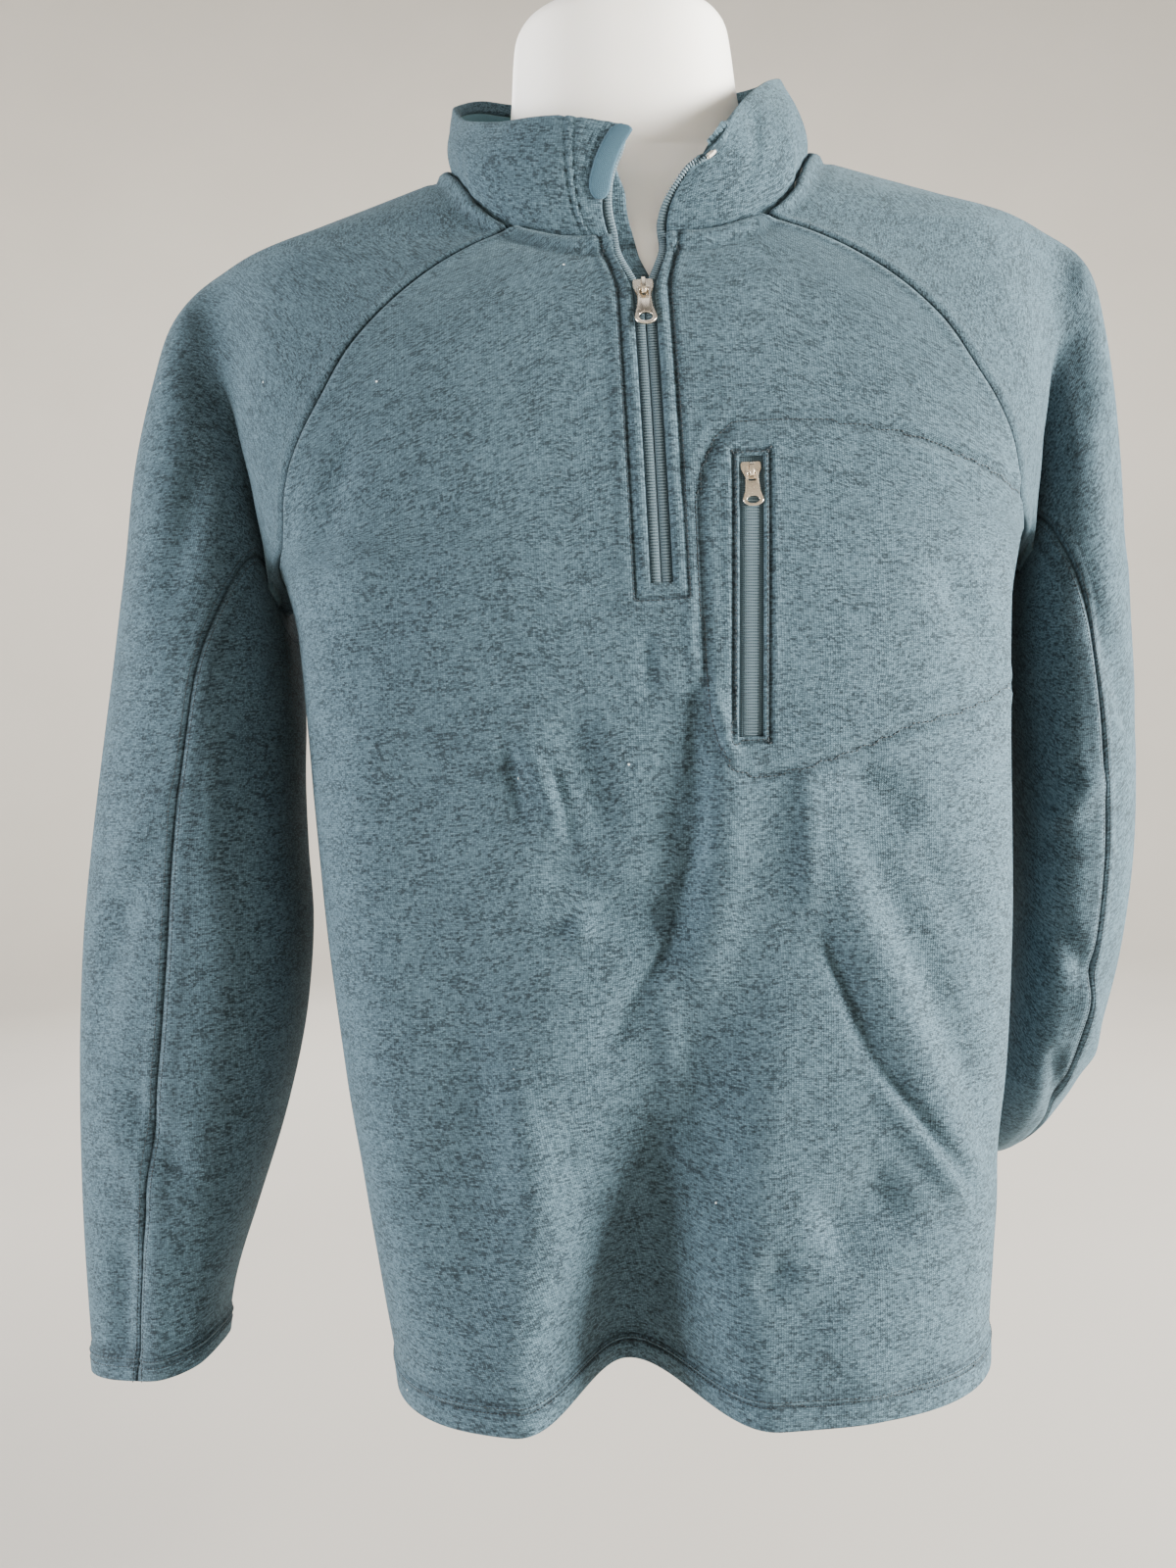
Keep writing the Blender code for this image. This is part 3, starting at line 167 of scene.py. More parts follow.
# share of the way round the collar, turn of its seam, x, y and drop of its top edge, and bulge
COLLAR = np.array([
    (0.00, -0.026, -4, -90, 99, 2), (0.08, -0.083, -32, -88, 92, 5), (0.17, -0.165, -66, -72, 84, 7),
    (0.27, -0.345, -89, -40, 66, 5), (0.36, -0.80, -98, 2, 36, 3), (0.43, -1.352, -80, 46, 12, 2),
    (0.50, -2.0, 0, 78, 5, 3), (0.57, -2.648, 80, 48, 12, 2), (0.64, -3.20, 92, 6, 28, 4),
    (0.73, -3.655, 77, -34, 50, 8), (0.83, -3.835, 60, -60, 74, 8), (0.92, -3.917, 50, -78, 93, 6),
    (1.00, -3.974, 44, -86, 106, 2),
])
# x, and the drops of the pocket bag's top and bottom edge
POCKET_BAG = np.array([
    (19, 300, 400), (23, 280, 418), (30, 266, 428), (40, 258, 433), (60, 257, 431), (90, 260, 423),
    (120, 265, 412), (150, 275, 405), (166, 281, 400),
])
# the form's neck: drop, half width, depth to the front, depth to the back, squareness
NECK_FORM = np.array([
    (0, 46, 41, 41, 2.3), (1.4, 52.5, 47.5, 47.5, 2.4), (5, 58, 52, 52, 2.5),
    (11, 61.2, 54.5, 54.5, 2.5), (20, 62.6, 55, 55, 2.4), (42, 64.8, 54, 54, 2.3),
    (60, 68, 52, 53, 2.2), (74, 74, 51, 54, 2.1), (84, 84, 52, 58, 2.0),
])
# how much the form is taken in from the worn surface: drop, half width, front and back
FORM_TAKEN_IN = np.array([
    (90, 5, 5, 5), (150, 5, 6, 5), (230, 5, 7, 6), (300, 7, 8, 8), (380, 14, 15, 14), (480, 32, 30, 24),
    (560, 36, 38, 26), (600, 36, 42, 28),
])
# folds of the trunk: start x and drop, end x and drop, half width, depth (ridges positive)
FRONT_FOLDS = [
    (-158, 330, -150, 700, 22, 5.0), (30, 425, 8, 545, 15, 6.0), (8, 405, -8, 520, 14, -5.0),
    (-66, 470, -10, 505, 15, -4.5), (-10, 505, 24, 470, 13, -3.5), (-48, 395, -34, 462, 10, -3.5),
    (78, 470, 150, 665, 15, 6.0), (92, 460, 164, 640, 13, -5.0), (62, 660, 104, 640, 20, -7.0),
    (-128, 610, -104, 700, 22, -4.0),
]
BACK_FOLDS = [
    (-62, 420, -78, 790, 26, -16.0), (58, 380, 76, 790, 30, -20.0), (0, 400, 4, 790, 26, 6.0),
    (-120, 300, -60, 420, 18, -5.0),
]
CREASE_DEPTH = 1.8
# finer creases that only the looks carry, in the same terms
FRONT_CREASES = [
    (-70, 412, -55, 452, 4.0, 1.7), (-80, 410, -75, 452, 4.5, -1.5), (-58, 424, -50, 462, 3.5, -1.6),
    (-9, 362, -9, 390, 4.0, -0.9), (13, 380, 13, 450, 5.0, -1.6), (13, 450, -1, 511, 4.5, -2.0),
    (-1, 511, -20, 531, 4.0, -2.0), (-18, 528, -38, 565, 6.0, -1.6), (-52, 500, -44, 508, 6.0, 2.2),
    (-44, 498, -4, 476, 4.0, -1.2), (86, 430, 120, 458, 11, -2.4), (67, 430, 64, 500, 6.5, 1.8),
    (70, 512, 93, 574, 4.5, -2.2), (93, 574, 143, 650, 4.0, -2.4), (97, 590, 137, 652, 6.0, 2.0),
    (-8, 536, -6, 600, 7.5, 1.5), (-6, 600, 14, 724, 11.0, 2.0), (30, 686, 46, 672, 8.0, -2.0),
    (20, 384, 30, 430, 5.0, 1.6), (-108, 520, -100, 670, 18, -2.0), (-90, 560, -60, 700, 12, 1.8),
    (118, 470, 150, 520, 10, -1.6), (140, 330, 176, 390, 12, -1.8), (-150, 250, -176, 318, 9, -1.4),
    (-110, 300, -180, 420, 14, -1.4), (60, 700, 90, 742, 16, 1.6),
]
SLEEVE_CREASES = {
    "right": [
        (-302, 578, -270, 637, 9.0, -1.5), (-312, 600, -284, 652, 11.0, 1.2),
        (-290, 470, -322, 560, 12, -2.4), (-214, 380, -236, 470, 9.0, -2.0),
        (-262, 420, -300, 470, 10, 1.8), (-236, 240, -262, 330, 11, -1.8),
        (-286, 660, -292, 745, 9.0, 2.6), (-308, 668, -312, 740, 10, -2.4),
    ],
    "left": [
        (226, 330, 262, 420, 10, -2.4), (214, 470, 236, 440, 8.0, 2.6), (212, 520, 240, 560, 8.0, -2.4),
        (236, 560, 254, 620, 9.0, 2.0), (250, 240, 262, 320, 11, -1.6), (222, 600, 236, 650, 6.0, -2.2),
    ],
}


# ------------------------------------------------------------------ curves
def smooth(at: Array | float, table: Array, column: int) -> Array:
    """A table's column at each place, along a curve that never overshoots its rows.

    Args:
        at: Places along the table's first column.
        table: Rows whose first column rises.
        column: The column to read.

    Returns:
        The values, in the shape of at.
    """
    xs, ys = table[:, 0], table[:, column]
    steps = np.diff(xs)
    slopes = np.diff(ys) / steps
    both = slopes[:-1] + slopes[1:]
    inner = np.where(
        slopes[:-1] * slopes[1:] > 0,
        2 * slopes[:-1] * slopes[1:] / np.where(both == 0, 1, both),
        0.0,
    )
    tangents = np.concatenate([[slopes[0]], inner, [slopes[-1]]])
    at = np.clip(np.asarray(at, float), xs[0], xs[-1])
    row = np.clip(np.searchsorted(xs, at, side="right") - 1, 0, len(xs) - 2)
    width = steps[row]
    t = (at - xs[row]) / width
    return (
        ys[row] * (1 + 2 * t) * (1 - t) ** 2
        + tangents[row] * width * t * (1 - t) ** 2
        + ys[row + 1] * t**2 * (3 - 2 * t)
        + tangents[row + 1] * width * t**2 * (t - 1)
    )


def unit(vectors: Array) -> Array:
    """The vectors at length 1."""
    return vectors / np.maximum(np.linalg.norm(vectors, axis=-1, keepdims=True), 1e-9)


def fade(value: Array | float, low: float, high: float) -> Array:
    """0 below low, 1 above high, and a smooth rise between."""
    t = np.clip((np.asarray(value, float) - low) / (high - low), 0, 1)
    return t * t * (3 - 2 * t)


def groove(distance: Array, at: float, half: float, depth: float) -> Array:
    """A soft dent of that depth along a line that lies at a distance."""
    return -depth * np.exp(-(((distance - at) / half) ** 2))


def roll(distance: Array, radius: float) -> Array:
    """How far a rounded edge has dropped at each distance from it."""
    inside = radius - np.clip(distance, 0, radius)
    return radius - np.sqrt(np.maximum(radius**2 - inside**2, 0))


def reach(points: Array, axis: int) -> Array:
    """Distance covered along an axis of a grid of points."""
    steps = np.linalg.norm(np.diff(points, axis=axis), axis=-1)
    start = np.zeros_like(np.take(steps, [0], axis=axis))
    return np.concatenate([start, np.cumsum(steps, axis=axis)], axis=axis)


def line_distance(x: Array, drop: Array, line: Line) -> Array:
    """Distance of each point of the front view from a line of points."""
    best = np.full(np.shape(x), 1e6)
    for (x0, d0), (x1, d1) in zip(line, line[1:]):
        across, down = x1 - x0, d1 - d0
        share = np.clip(((x - x0) * across + (drop - d0) * down) / (across**2 + down**2), 0, 1)
        best = np.minimum(best, np.hypot(x - x0 - share * across, drop - d0 - share * down))
    return best


def place(points: Array) -> Array:
    """Millimetres and drop to the row frame, in metres."""
    points = np.asarray(points, float)
    down = -(points[..., 2] + HOOK_RISE) * MM
    return np.stack([points[..., 0] * MM, points[..., 1] * MM, down], axis=-1)


def spread(lengths: Array, near: list[float], far: list[float], pitch: float) -> Array:
    """Stations along rows of different lengths.

    Args:
        lengths: Length of each row, mm.
        near: Distances from the row's start that a station must meet.
        far: Distances from the row's end that a station must meet.
        pitch: The longest step between the others, mm.

    Returns:
        One row of stations, in mm, for each length.
    """
    lengths = np.atleast_1d(np.asarray(lengths, float))
    squeeze = np.minimum(1.0, 0.9 * lengths / (near[-1] + far[-1] + 1e-6))[:, None]
    starts = np.array(near)[None, :] * squeeze
    ends = lengths[:, None] - np.array(far)[None, ::-1] * squeeze
    count = max(int(math.ceil((lengths.max() - near[-1] - far[-1]) / pitch)), 2)
    share = np.linspace(0, 1, count + 1)[None, 1:-1]
    return np.hstack([starts, starts[:, -1:] + (ends[:, :1] - starts[:, -1:]) * share, ends])


def creases(points: Array, lines: list[tuple], facing: Array) -> Array:
    """How far a list of folds moves each point outward.

    Args:
        points: Points in mm.
        lines: Rows of start x and drop, end x and drop, half width and depth.
        facing: 1 where the cloth faces the way the folds are seen from, 0 elsewhere.

    Returns:
        The push of each point, mm.
    """
    x, drop = points[..., 0], points[..., 2]
    push = np.zeros(x.shape)
    for x0, drop0, x1, drop1, half, depth in lines:
        run = np.array([x1 - x0, drop1 - drop0], float)
        length = np.linalg.norm(run)
        run = run / length
        share = ((x - x0) * run[0] + (drop - drop0) * run[1]) / length
        across = (x - x0) * run[1] - (drop - drop0) * run[0]
        ends = fade(share, -0.15, 0.25) * (1 - fade(share, 0.75, 1.15))
        push = push + depth * ends * np.exp(-((across / half) ** 2))
    return push * facing


def unevenness(points: Array) -> Array:
    """The slight waviness of hanging knit, mm: long soft swells and no repeat that shows."""
    x, y, drop = (points[..., k] for k in range(3))
    swell = np.sin(x / 23.0 + 1.3 * np.sin(drop / 61.0) + y / 47.0) * np.sin(drop / 54.0 + x / 91.0)
    finer = np.sin(x / 9.7 + 2.1 * np.sin(drop / 33.0)) * np.sin(drop / 29.0 - y / 21.0)
    return 0.45 * swell + 0.16 * finer


# ------------------------------------------------------------------ the worn surface
@dataclass(frozen=True)
class WornSurface:
    """The garment's outer surface round the trunk and shoulders, as its solids have it."""

    folds: bool = True

    def section(self, turn: Array, drop: Array, table: Array = TRUNK) -> Array:
        """Points of rounded-box sections: turn 0 is the front, 1 and -1 the sides, 2 the back."""
        turn, drop = np.broadcast_arrays(np.asarray(turn, float), np.asarray(drop, float))
        turn = np.mod(turn + 2, 4) - 2
        half, front, back = (smooth(drop, table, k) for k in (1, 2, 3))
        power = 2.0 / smooth(drop, table, 4)
        size = np.abs(turn)
        ahead = size <= 1
        angle = np.where(ahead, size, 2 - size) * math.pi / 2
        x = np.sign(turn) * half * np.abs(np.sin(angle)) ** power
        y = np.abs(np.cos(angle)) ** power * np.where(ahead, -front, back)
        return np.stack([x, y, drop], axis=-1)

    def valley(self, points: Array) -> Array:
        """How far back the deep fold at the centre front carries each point."""
        x, y, drop = (points[..., k] for k in range(3))
        middle = smooth(drop, FRONT_FOLD, 1)
        left, right = smooth(drop, FRONT_FOLD, 3), smooth(drop, FRONT_FOLD, 4)
        near = np.clip(np.abs(x - middle) / (1.35 * np.where(x < middle, left, right)), 0, 1)
        curve = (0.5 + 0.5 * np.cos(math.pi * near)) ** 1.15
        return smooth(drop, FRONT_FOLD, 2) * curve * fade(-y, 5, 45)

    def at(self, turn: Array, drop: Array) -> Array:
        """The worn surface at each turn and drop, folds and creases and all."""
        turn = np.asarray(turn, float)
        base = self.section(turn, drop)
        side = self.section(turn + 0.01, drop) - self.section(turn - 0.01, drop)
        level = np.zeros(side.shape[:-1])
        outward = unit(np.stack([-side[..., 1], side[..., 0], level], axis=-1))
        outward = outward * np.sign((outward[..., :2] * base[..., :2]).sum(-1))[..., None]
        ahead, behind = fade(-base[..., 1], 20, 60), fade(base[..., 1], 20, 55)
        push = creases(base, FRONT_FOLDS, ahead) + creases(base, BACK_FOLDS, behind)
        if self.folds:
            push = push + CREASE_DEPTH * creases(base, FRONT_CREASES, ahead) + unevenness(base)
        moved = base + outward * push[..., None]
        valley = self.valley(base)
        moved[..., 1] += valley
        moved[..., 2] -= valley * FOLD_LIFT * fade(base[..., 2], 560, HEM_DROP)
        return moved

    def normal(self, turn: Array, drop: Array) -> Array:
        """The outward normal of the worn surface."""
        turn, drop = np.broadcast_arrays(np.asarray(turn, float), np.asarray(drop, float))
        round_it = self.at(turn + 0.012, drop) - self.at(turn - 0.012, drop)
        down = self.at(turn, drop + 1.5) - self.at(turn, drop - 1.5)
        return unit(np.cross(round_it, down))

    def turn_of_x(self, x: Array | float, drop: Array | float) -> Array:
        """Where on the front half of a section x is reached."""
        share = np.clip(np.asarray(x, float) / smooth(drop, TRUNK, 1), 0, 1)
        return np.arcsin(share ** (smooth(drop, TRUNK, 4) / 2)) * 2 / math.pi

    def turn_of_back(self, behind: Array, drop: Array) -> Array:
        """Where on the back half of a section the seam lies that far behind its middle."""
        share = np.clip(behind / smooth(drop, TRUNK, 3), 0, 1)
        return 2 - np.arccos(share ** (smooth(drop, TRUNK, 4) / 2)) * 2 / math.pi

    def front_edge(self, drop: Array | float) -> Array:
        """The front panel's edge: the raglan seam, then the side seam."""
        raglan = self.turn_of_x(smooth(drop, FRONT_SEAM, 1), drop)
        eased = raglan + (1 - raglan) * fade(drop, UNDERARM_EASE, UNDERARM_DROP)
        return np.where(np.asarray(drop) < UNDERARM_DROP, eased, 1.0)

    def back_edge(self, drop: Array | float) -> Array:
        """The back panel's edge: the shoulder and armhole seam, then the side seam."""
        armhole = self.turn_of_back(smooth(drop, BACK_SEAM, 1), drop)
        eased = 1 + (armhole - 1) * (1 - fade(drop, UNDERARM_EASE, UNDERARM_DROP))
        return np.where(np.asarray(drop) < UNDERARM_DROP, eased, 1.0)

    def neck(self, turn: Array | float) -> Array:
        """Drop of the neck seam."""
        return smooth(np.abs(turn), NECK_SEAM, 1)

    def turns_at(self, start: Array, end: Array, drops: Array) -> tuple:
        """Lengths of rows on the unfolded section, and a reader of the turn at a distance.

        Args:
            start: Turn at which each row starts.
            end: Turn at which each row ends.
            drops: Drop of each row.

        Returns:
            The lengths in mm, and a function that turns stations into turns.
        """
        share = np.linspace(0, 1, 160)[None, :]
        dense = start[:, None] + (end - start)[:, None] * share
        run = reach(self.section(dense, drops[:, None]), 1)

        def read(stations: Array) -> Array:
            """The turn at each station."""
            return np.array([np.interp(s, r, t) for s, r, t in zip(stations, run, dense)])

        return run[:, -1], read

    def seam_shift(self, front: bool, drops: Array) -> Array:
        """Half the seam gap, across the seam and away from the middle of the front."""
        edge = self.front_edge if front else self.back_edge
        drops = np.asarray(drops, float)
        turn = edge(drops)
        run = self.at(edge(drops + 1), drops + 1) - self.at(edge(drops - 1), drops - 1)
        across = unit(np.cross(self.normal(turn, drops), unit(run)))
        outward = self.at(turn + 0.01, drops) - self.at(turn - 0.01, drops)
        return across * np.sign((across * outward).sum(-1))[..., None] * SEAM_GAP / 2


SKIN = WornSurface()


def slot_half(drop: Array | float) -> Array:
    """Half the width of the gap in the front that the zip shows in."""
    opened = fade(-np.asarray(drop, float), -SLIDER_DROP, -NECK_CORNER_DROP - 5)
    return SLOT_HALF + (COLLAR_SLOT_HALF - SLOT_HALF) * opened


def pocket_x(drop: Array | float) -> Array:
    """The middle of the pocket's zip window at a drop."""
    share = np.clip((np.asarray(drop, float) - POCKET_TOP[1]) / (POCKET_END[1] - POCKET_TOP[1]), 0, 1)
    return POCKET_TOP[0] + (POCKET_END[0] - POCKET_TOP[0]) * share


# ------------------------------------------------------------------ materials
def add_node(tree: bpy.types.NodeTree, kind: str, links: dict, settings: dict) -> bpy.types.Node:
    """Add a node to a tree.

    Args:
        tree: The node tree.
        kind: Blender's name for the node.
        links: Input name or index, to a socket or a value.
        settings: Properties of the node.

    Returns:
        The node.
    """
    node = tree.nodes.new(kind)
    for key, value in settings.items():
        setattr(node, key, value)
    for key, value in links.items():
        if isinstance(value, Socket):
            tree.links.new(value, node.inputs[key])
        else:
            node.inputs[key].default_value = value
    return node


def linear(code: str) -> tuple[float, float, float, float]:
    """An sRGB hex colour as linear RGBA."""
    channels = [int(code[i : i + 2], 16) / 255 for i in (1, 3, 5)]
    return (*[c / 12.92 if c <= 0.04045 else ((c + 0.055) / 1.055) ** 2.4 for c in channels], 1.0)


@dataclass
class Shader:
    """A material's node tree, with one way to add a node."""

    name: str
    tree: bpy.types.NodeTree = field(init=False)
    material: bpy.types.Material = field(init=False)

    def __post_init__(self) -> None:
        """Make the material with its Principled shader."""
        self.material = bpy.data.materials.new(self.name)
        self.material.use_nodes = True
        self.tree = self.material.node_tree

    @property
    def surface(self) -> bpy.types.Node:
        """The Principled shader."""
        return self.tree.nodes["Principled BSDF"]

    def add(self, kind: str, links: dict | None = None, **settings: object) -> bpy.types.Node:
        """Add a shader node, named without its "ShaderNode" start."""
        return add_node(self.tree, "ShaderNode" + kind, links or {}, settings)

    def spot(self) -> Socket:
        """The place on the object, in metres."""
        return self.add("TexCoord").outputs["Object"]

    def noise(self, at: object, scale: float, detail: float, rough: float = 0.5) -> Socket:
        """Soft noise of one scale at a place, 0 to 1."""
        links = {"Vector": at, "Scale": scale, "Detail": detail, "Roughness": rough}
        return self.add("TexNoise", links).outputs["Fac"]

    def ramp(self, value: object, low: float, high: float, first: object, last: object) -> object:
        """A value carried from one range to another, and held at its ends."""
        return self.add("MapRange", {0: value, 1: low, 2: high, 3: first, 4: last}).outputs[0]

    def bump(self, height: object, strength: float, distance: float) -> Socket:
        """The normal that a height gives."""
        links = {"Height": height, "Strength": strength, "Distance": distance}
        return self.add("Bump", links).outputs[0]

    def maths(self, operation: str, *values: object) -> Socket:
        """The result of a Math node on sockets or numbers."""
        return self.add("Math", dict(enumerate(values)), operation=operation).outputs[0]

    def mix(self, share: object, low: object, high: object) -> Socket:
        """A colour between two others."""
        return self.add("Mix", {0: share, 6: low, 7: high}, data_type="RGBA").outputs[2]

    def finish(self, **sockets: object) -> bpy.types.Material:
        """Set the Principled shader's sockets, with underscores for spaces, and return all."""
        for key, value in sockets.items():
            target = self.surface.inputs[key.replace("_", " ")]
            if isinstance(value, Socket):
                self.tree.links.new(value, target)
            else:
                target.default_value = value
        return self.material


@dataclass(frozen=True)
class SweaterKnit:
    """Polyester sweater fleece: a heathered jersey face of light and dark yarn, matt.

    Every stitch takes its own share of light and dark fibre, so the cloth is grained all over.
    Where the dark yarn lies on the face it shows as short dashes along a course, in loose
    clusters. Sheen stands for the fibre ends that catch light at grazing angles.
    """

    name: str
    light: str = "#607A88"
    middle: str = "#263740"
    # the dark yarn's colour, also mixed in as painted shade in seams and between stitches
    dark: str = "#0A0F13"
    course: float = 0.95  # height of a course as drawn, mm; the real one is about 0.8
    wale: float = 1.25  # width of a column of stitches, mm
    dashes: float = 0.50  # share of dark yarn at the heart of a cluster

    def dash(self, s: Shader, u: object, v: object, length: float, limit: object) -> object:
        """Where a dark dash of one length lies, 0 to 1, fading at its two ends."""
        row = s.maths("FLOOR", s.maths("DIVIDE", v, self.course))
        start = s.add("TexWhiteNoise", {"W": row}, noise_dimensions="1D").outputs["Value"]
        along = s.maths("ADD", s.maths("DIVIDE", u, length), s.maths("MULTIPLY", start, 7.0))
        cell = s.add("CombineXYZ", {0: s.maths("FLOOR", along), 1: row, 2: length})
        value = s.add("TexWhiteNoise", {"Vector": cell.outputs[0]}).outputs["Value"]
        middle = s.maths("ABSOLUTE", s.maths("SUBTRACT", s.maths("FRACT", along), 0.5))
        soft = s.ramp(middle, 0.25, 0.5, 1.0, 0.15)
        return s.maths("MULTIPLY", s.maths("LESS_THAN", value, limit), soft)

    def build(self) -> bpy.types.Material:
        """The material."""
        s = Shader(self.name)
        cloth = s.add("UVMap", uv_map="Knit").outputs[0]
        spot = s.spot()
        drift = s.add("TexNoise", {"Vector": spot, "Scale": 120.0, "Detail": 2.0})
        centred = {0: drift.outputs["Color"], 1: (0.5, 0.5, 0.5)}
        shift = s.add("VectorMath", centred, operation="SUBTRACT")
        shift = s.add("VectorMath", {0: shift.outputs[0], "Scale": 0.0004}, operation="SCALE")
        moved = s.add("VectorMath", {0: cloth, 1: shift.outputs[0]}, operation="ADD").outputs[0]
        axes = s.add("SeparateXYZ", {0: moved})
        u, v = (s.maths("MULTIPLY", axes.outputs[k], 1000.0) for k in range(2))
        # each stitch's own tone
        across, down = s.maths("DIVIDE", u, self.wale), s.maths("DIVIDE", v, self.course)
        stitch = s.add("CombineXYZ", {0: s.maths("FLOOR", across), 1: s.maths("FLOOR", down)})
        grain = s.add("TexWhiteNoise", {"Vector": stitch.outputs[0]}).outputs["Value"]
        # streaks along the courses, and broad soft patches
        flat = s.add("CombineXYZ", {0: s.maths("MULTIPLY", u, 0.22), 1: s.maths("MULTIPLY", v, 0.8)})
        streak = s.noise(flat.outputs[0], 1.0, 5.0, 0.7)
        patch = s.noise(spot, 45.0, 3.0)
        fuzz = s.noise(spot, 1500.0, 3.0)
        tone = s.maths("MULTIPLY_ADD", grain, 0.30, s.maths("MULTIPLY", streak, 1.1))
        tone = s.maths("MULTIPLY_ADD", patch, 0.2, tone)
        tone = s.maths("MULTIPLY_ADD", fuzz, 0.5, tone)
        # the dark yarn's colour, which also serves as the colour of the painted shade below
        dark_yarn_and_shade = linear(self.dark)
        lit = s.ramp(tone, 0.77, 1.41, 0.0, 1.0)
        colour = s.mix(lit, linear(self.middle), linear(self.light))
        colour = s.mix(s.ramp(tone, 0.65, 1.01, 0.42, 0.0), colour, dark_yarn_and_shade)
        # dark yarn on the face, gathered in clusters that are wider than they are high
        wide = s.add("CombineXYZ", {0: s.maths("MULTIPLY", u, 0.055), 1: s.maths("MULTIPLY", v, 0.13)})
        limit = s.ramp(s.noise(wide.outputs[0], 1.0, 3.0, 0.6), 0.46, 0.72, 0.035, self.dashes)
        short = self.dash(s, u, v, 2.1, limit)
        long = self.dash(s, u, v, 4.4, s.maths("MULTIPLY", limit, 0.55))
        dark = s.maths("MAXIMUM", short, long)
        strength = s.maths("MULTIPLY", dark, s.maths("MULTIPLY_ADD", grain, 0.35, 0.38))
        colour = s.mix(strength, colour, dark_yarn_and_shade)
        # stitches: each wale is a rounded column, each course a shallow step; the gaps between them are
        # darkened as painted shade
        column = s.maths("ABSOLUTE", s.maths("SINE", s.maths("MULTIPLY", across, math.pi)))
        step = s.maths("ABSOLUTE", s.maths("SINE", s.maths("MULTIPLY", down, math.pi)))
        loop = s.maths("MULTIPLY", s.maths("POWER", column, 0.5), s.maths("POWER", step, 0.7))
        colour = s.mix(s.ramp(loop, 0.0, 0.85, 0.42, 0.0), colour, dark_yarn_and_shade)
        # painted shade: cloth in a seam's groove, along a sewn edge or in a crease is mixed towards the
        # darkest colour, as if it got little light
        hollow = s.add("Attribute", attribute_name="Hollow").outputs["Fac"]
        colour = s.mix(s.maths("MULTIPLY", hollow, 0.52), colour, dark_yarn_and_shade)
        # rare flecks of undyed fibre
        fleck = s.add("VectorMath", {0: spot, "Scale": 1000.0}, operation="SCALE")
        fleck = s.add("VectorMath", {0: fleck.outputs[0]}, operation="FLOOR")
        rare = s.add("TexWhiteNoise", {"Vector": fleck.outputs[0]}).outputs["Value"]
        colour = s.mix(s.maths("GREATER_THAN", rare, 0.99997), colour, linear("#DDE6E8"))
        height = s.maths("MULTIPLY_ADD", fuzz, 0.6, s.maths("MULTIPLY", loop, 0.6))
        height = s.maths("SUBTRACT", height, s.maths("MULTIPLY", dark, 0.12))
        return s.finish(
            Base_Color=colour,
            Normal=s.bump(height, 0.5, 0.0006),
            Roughness=0.92,
            Sheen_Weight=0.22,
            Sheen_Roughness=0.45,
            Sheen_Tint=linear("#A9C3CC"),
            Specular_IOR_Level=0.25,
        )


@dataclass(frozen=True)
class BrushedBack:
    """The fleece side: polyester pile brushed up and sheared, with no stitches showing."""

    name: str
    light: str = "#4A626B"
    dark: str = "#283A42"

    def build(self) -> bpy.types.Material:
        """The material."""
        s = Shader(self.name)
        spot = s.spot()
        tufts = s.noise(spot, 420.0, 5.0, 0.7)
        both = s.maths("MULTIPLY_ADD", s.noise(spot, 60.0, 2.0), 0.5, s.maths("MULTIPLY", tufts, 0.6))
        tone = s.ramp(both, 0.38, 0.72, 0.0, 1.0)
        return s.finish(
            Base_Color=s.mix(tone, linear(self.dark), linear(self.light)),
            Normal=s.bump(tufts, 0.8, 0.0012),
            Roughness=0.95,
            Sheen_Weight=0.4,
            Sheen_Roughness=0.5,
            Sheen_Tint=linear("#BCD2D6"),
            Specular_IOR_Level=0.2,
        )


@dataclass(frozen=True)
class PlainJersey:
    """Polyester jersey in one colour: even fine stitches, matt."""

    name: str
    # a light and a dark copy of the jersey's one colour, for painted light and shade of its stitches
    light: str
    dark: str
    gauge: float = 0.9  # stitch as drawn, mm

    def build(self) -> bpy.types.Material:
        """The material."""
        s = Shader(self.name)
        cloth = s.add("UVMap", uv_map="Knit").outputs[0]
        axes = s.add("SeparateXYZ", {0: cloth})
        turn = 1000.0 * math.pi / self.gauge
        column = s.maths("ABSOLUTE", s.maths("SINE", s.maths("MULTIPLY", axes.outputs[0], turn)))
        step = s.maths("ABSOLUTE", s.maths("SINE", s.maths("MULTIPLY", axes.outputs[1], turn)))
        loop = s.maths("MULTIPLY", column, step)
        fuzz = s.noise(s.spot(), 900.0, 3.0)
        # the loops' crests take the light colour and the gaps between them the dark: painted light and
        # shade of the stitches, with a random fuzz in the tone
        tone = s.maths("MULTIPLY_ADD", loop, 0.45, s.maths("MULTIPLY", fuzz, 0.6))
        return s.finish(
            Base_Color=s.mix(tone, linear(self.dark), linear(self.light)),
            Normal=s.bump(tone, 0.5, 0.0004),
            Roughness=0.85,
            Sheen_Weight=0.2,
            Sheen_Roughness=0.4,
            Specular_IOR_Level=0.3,
        )


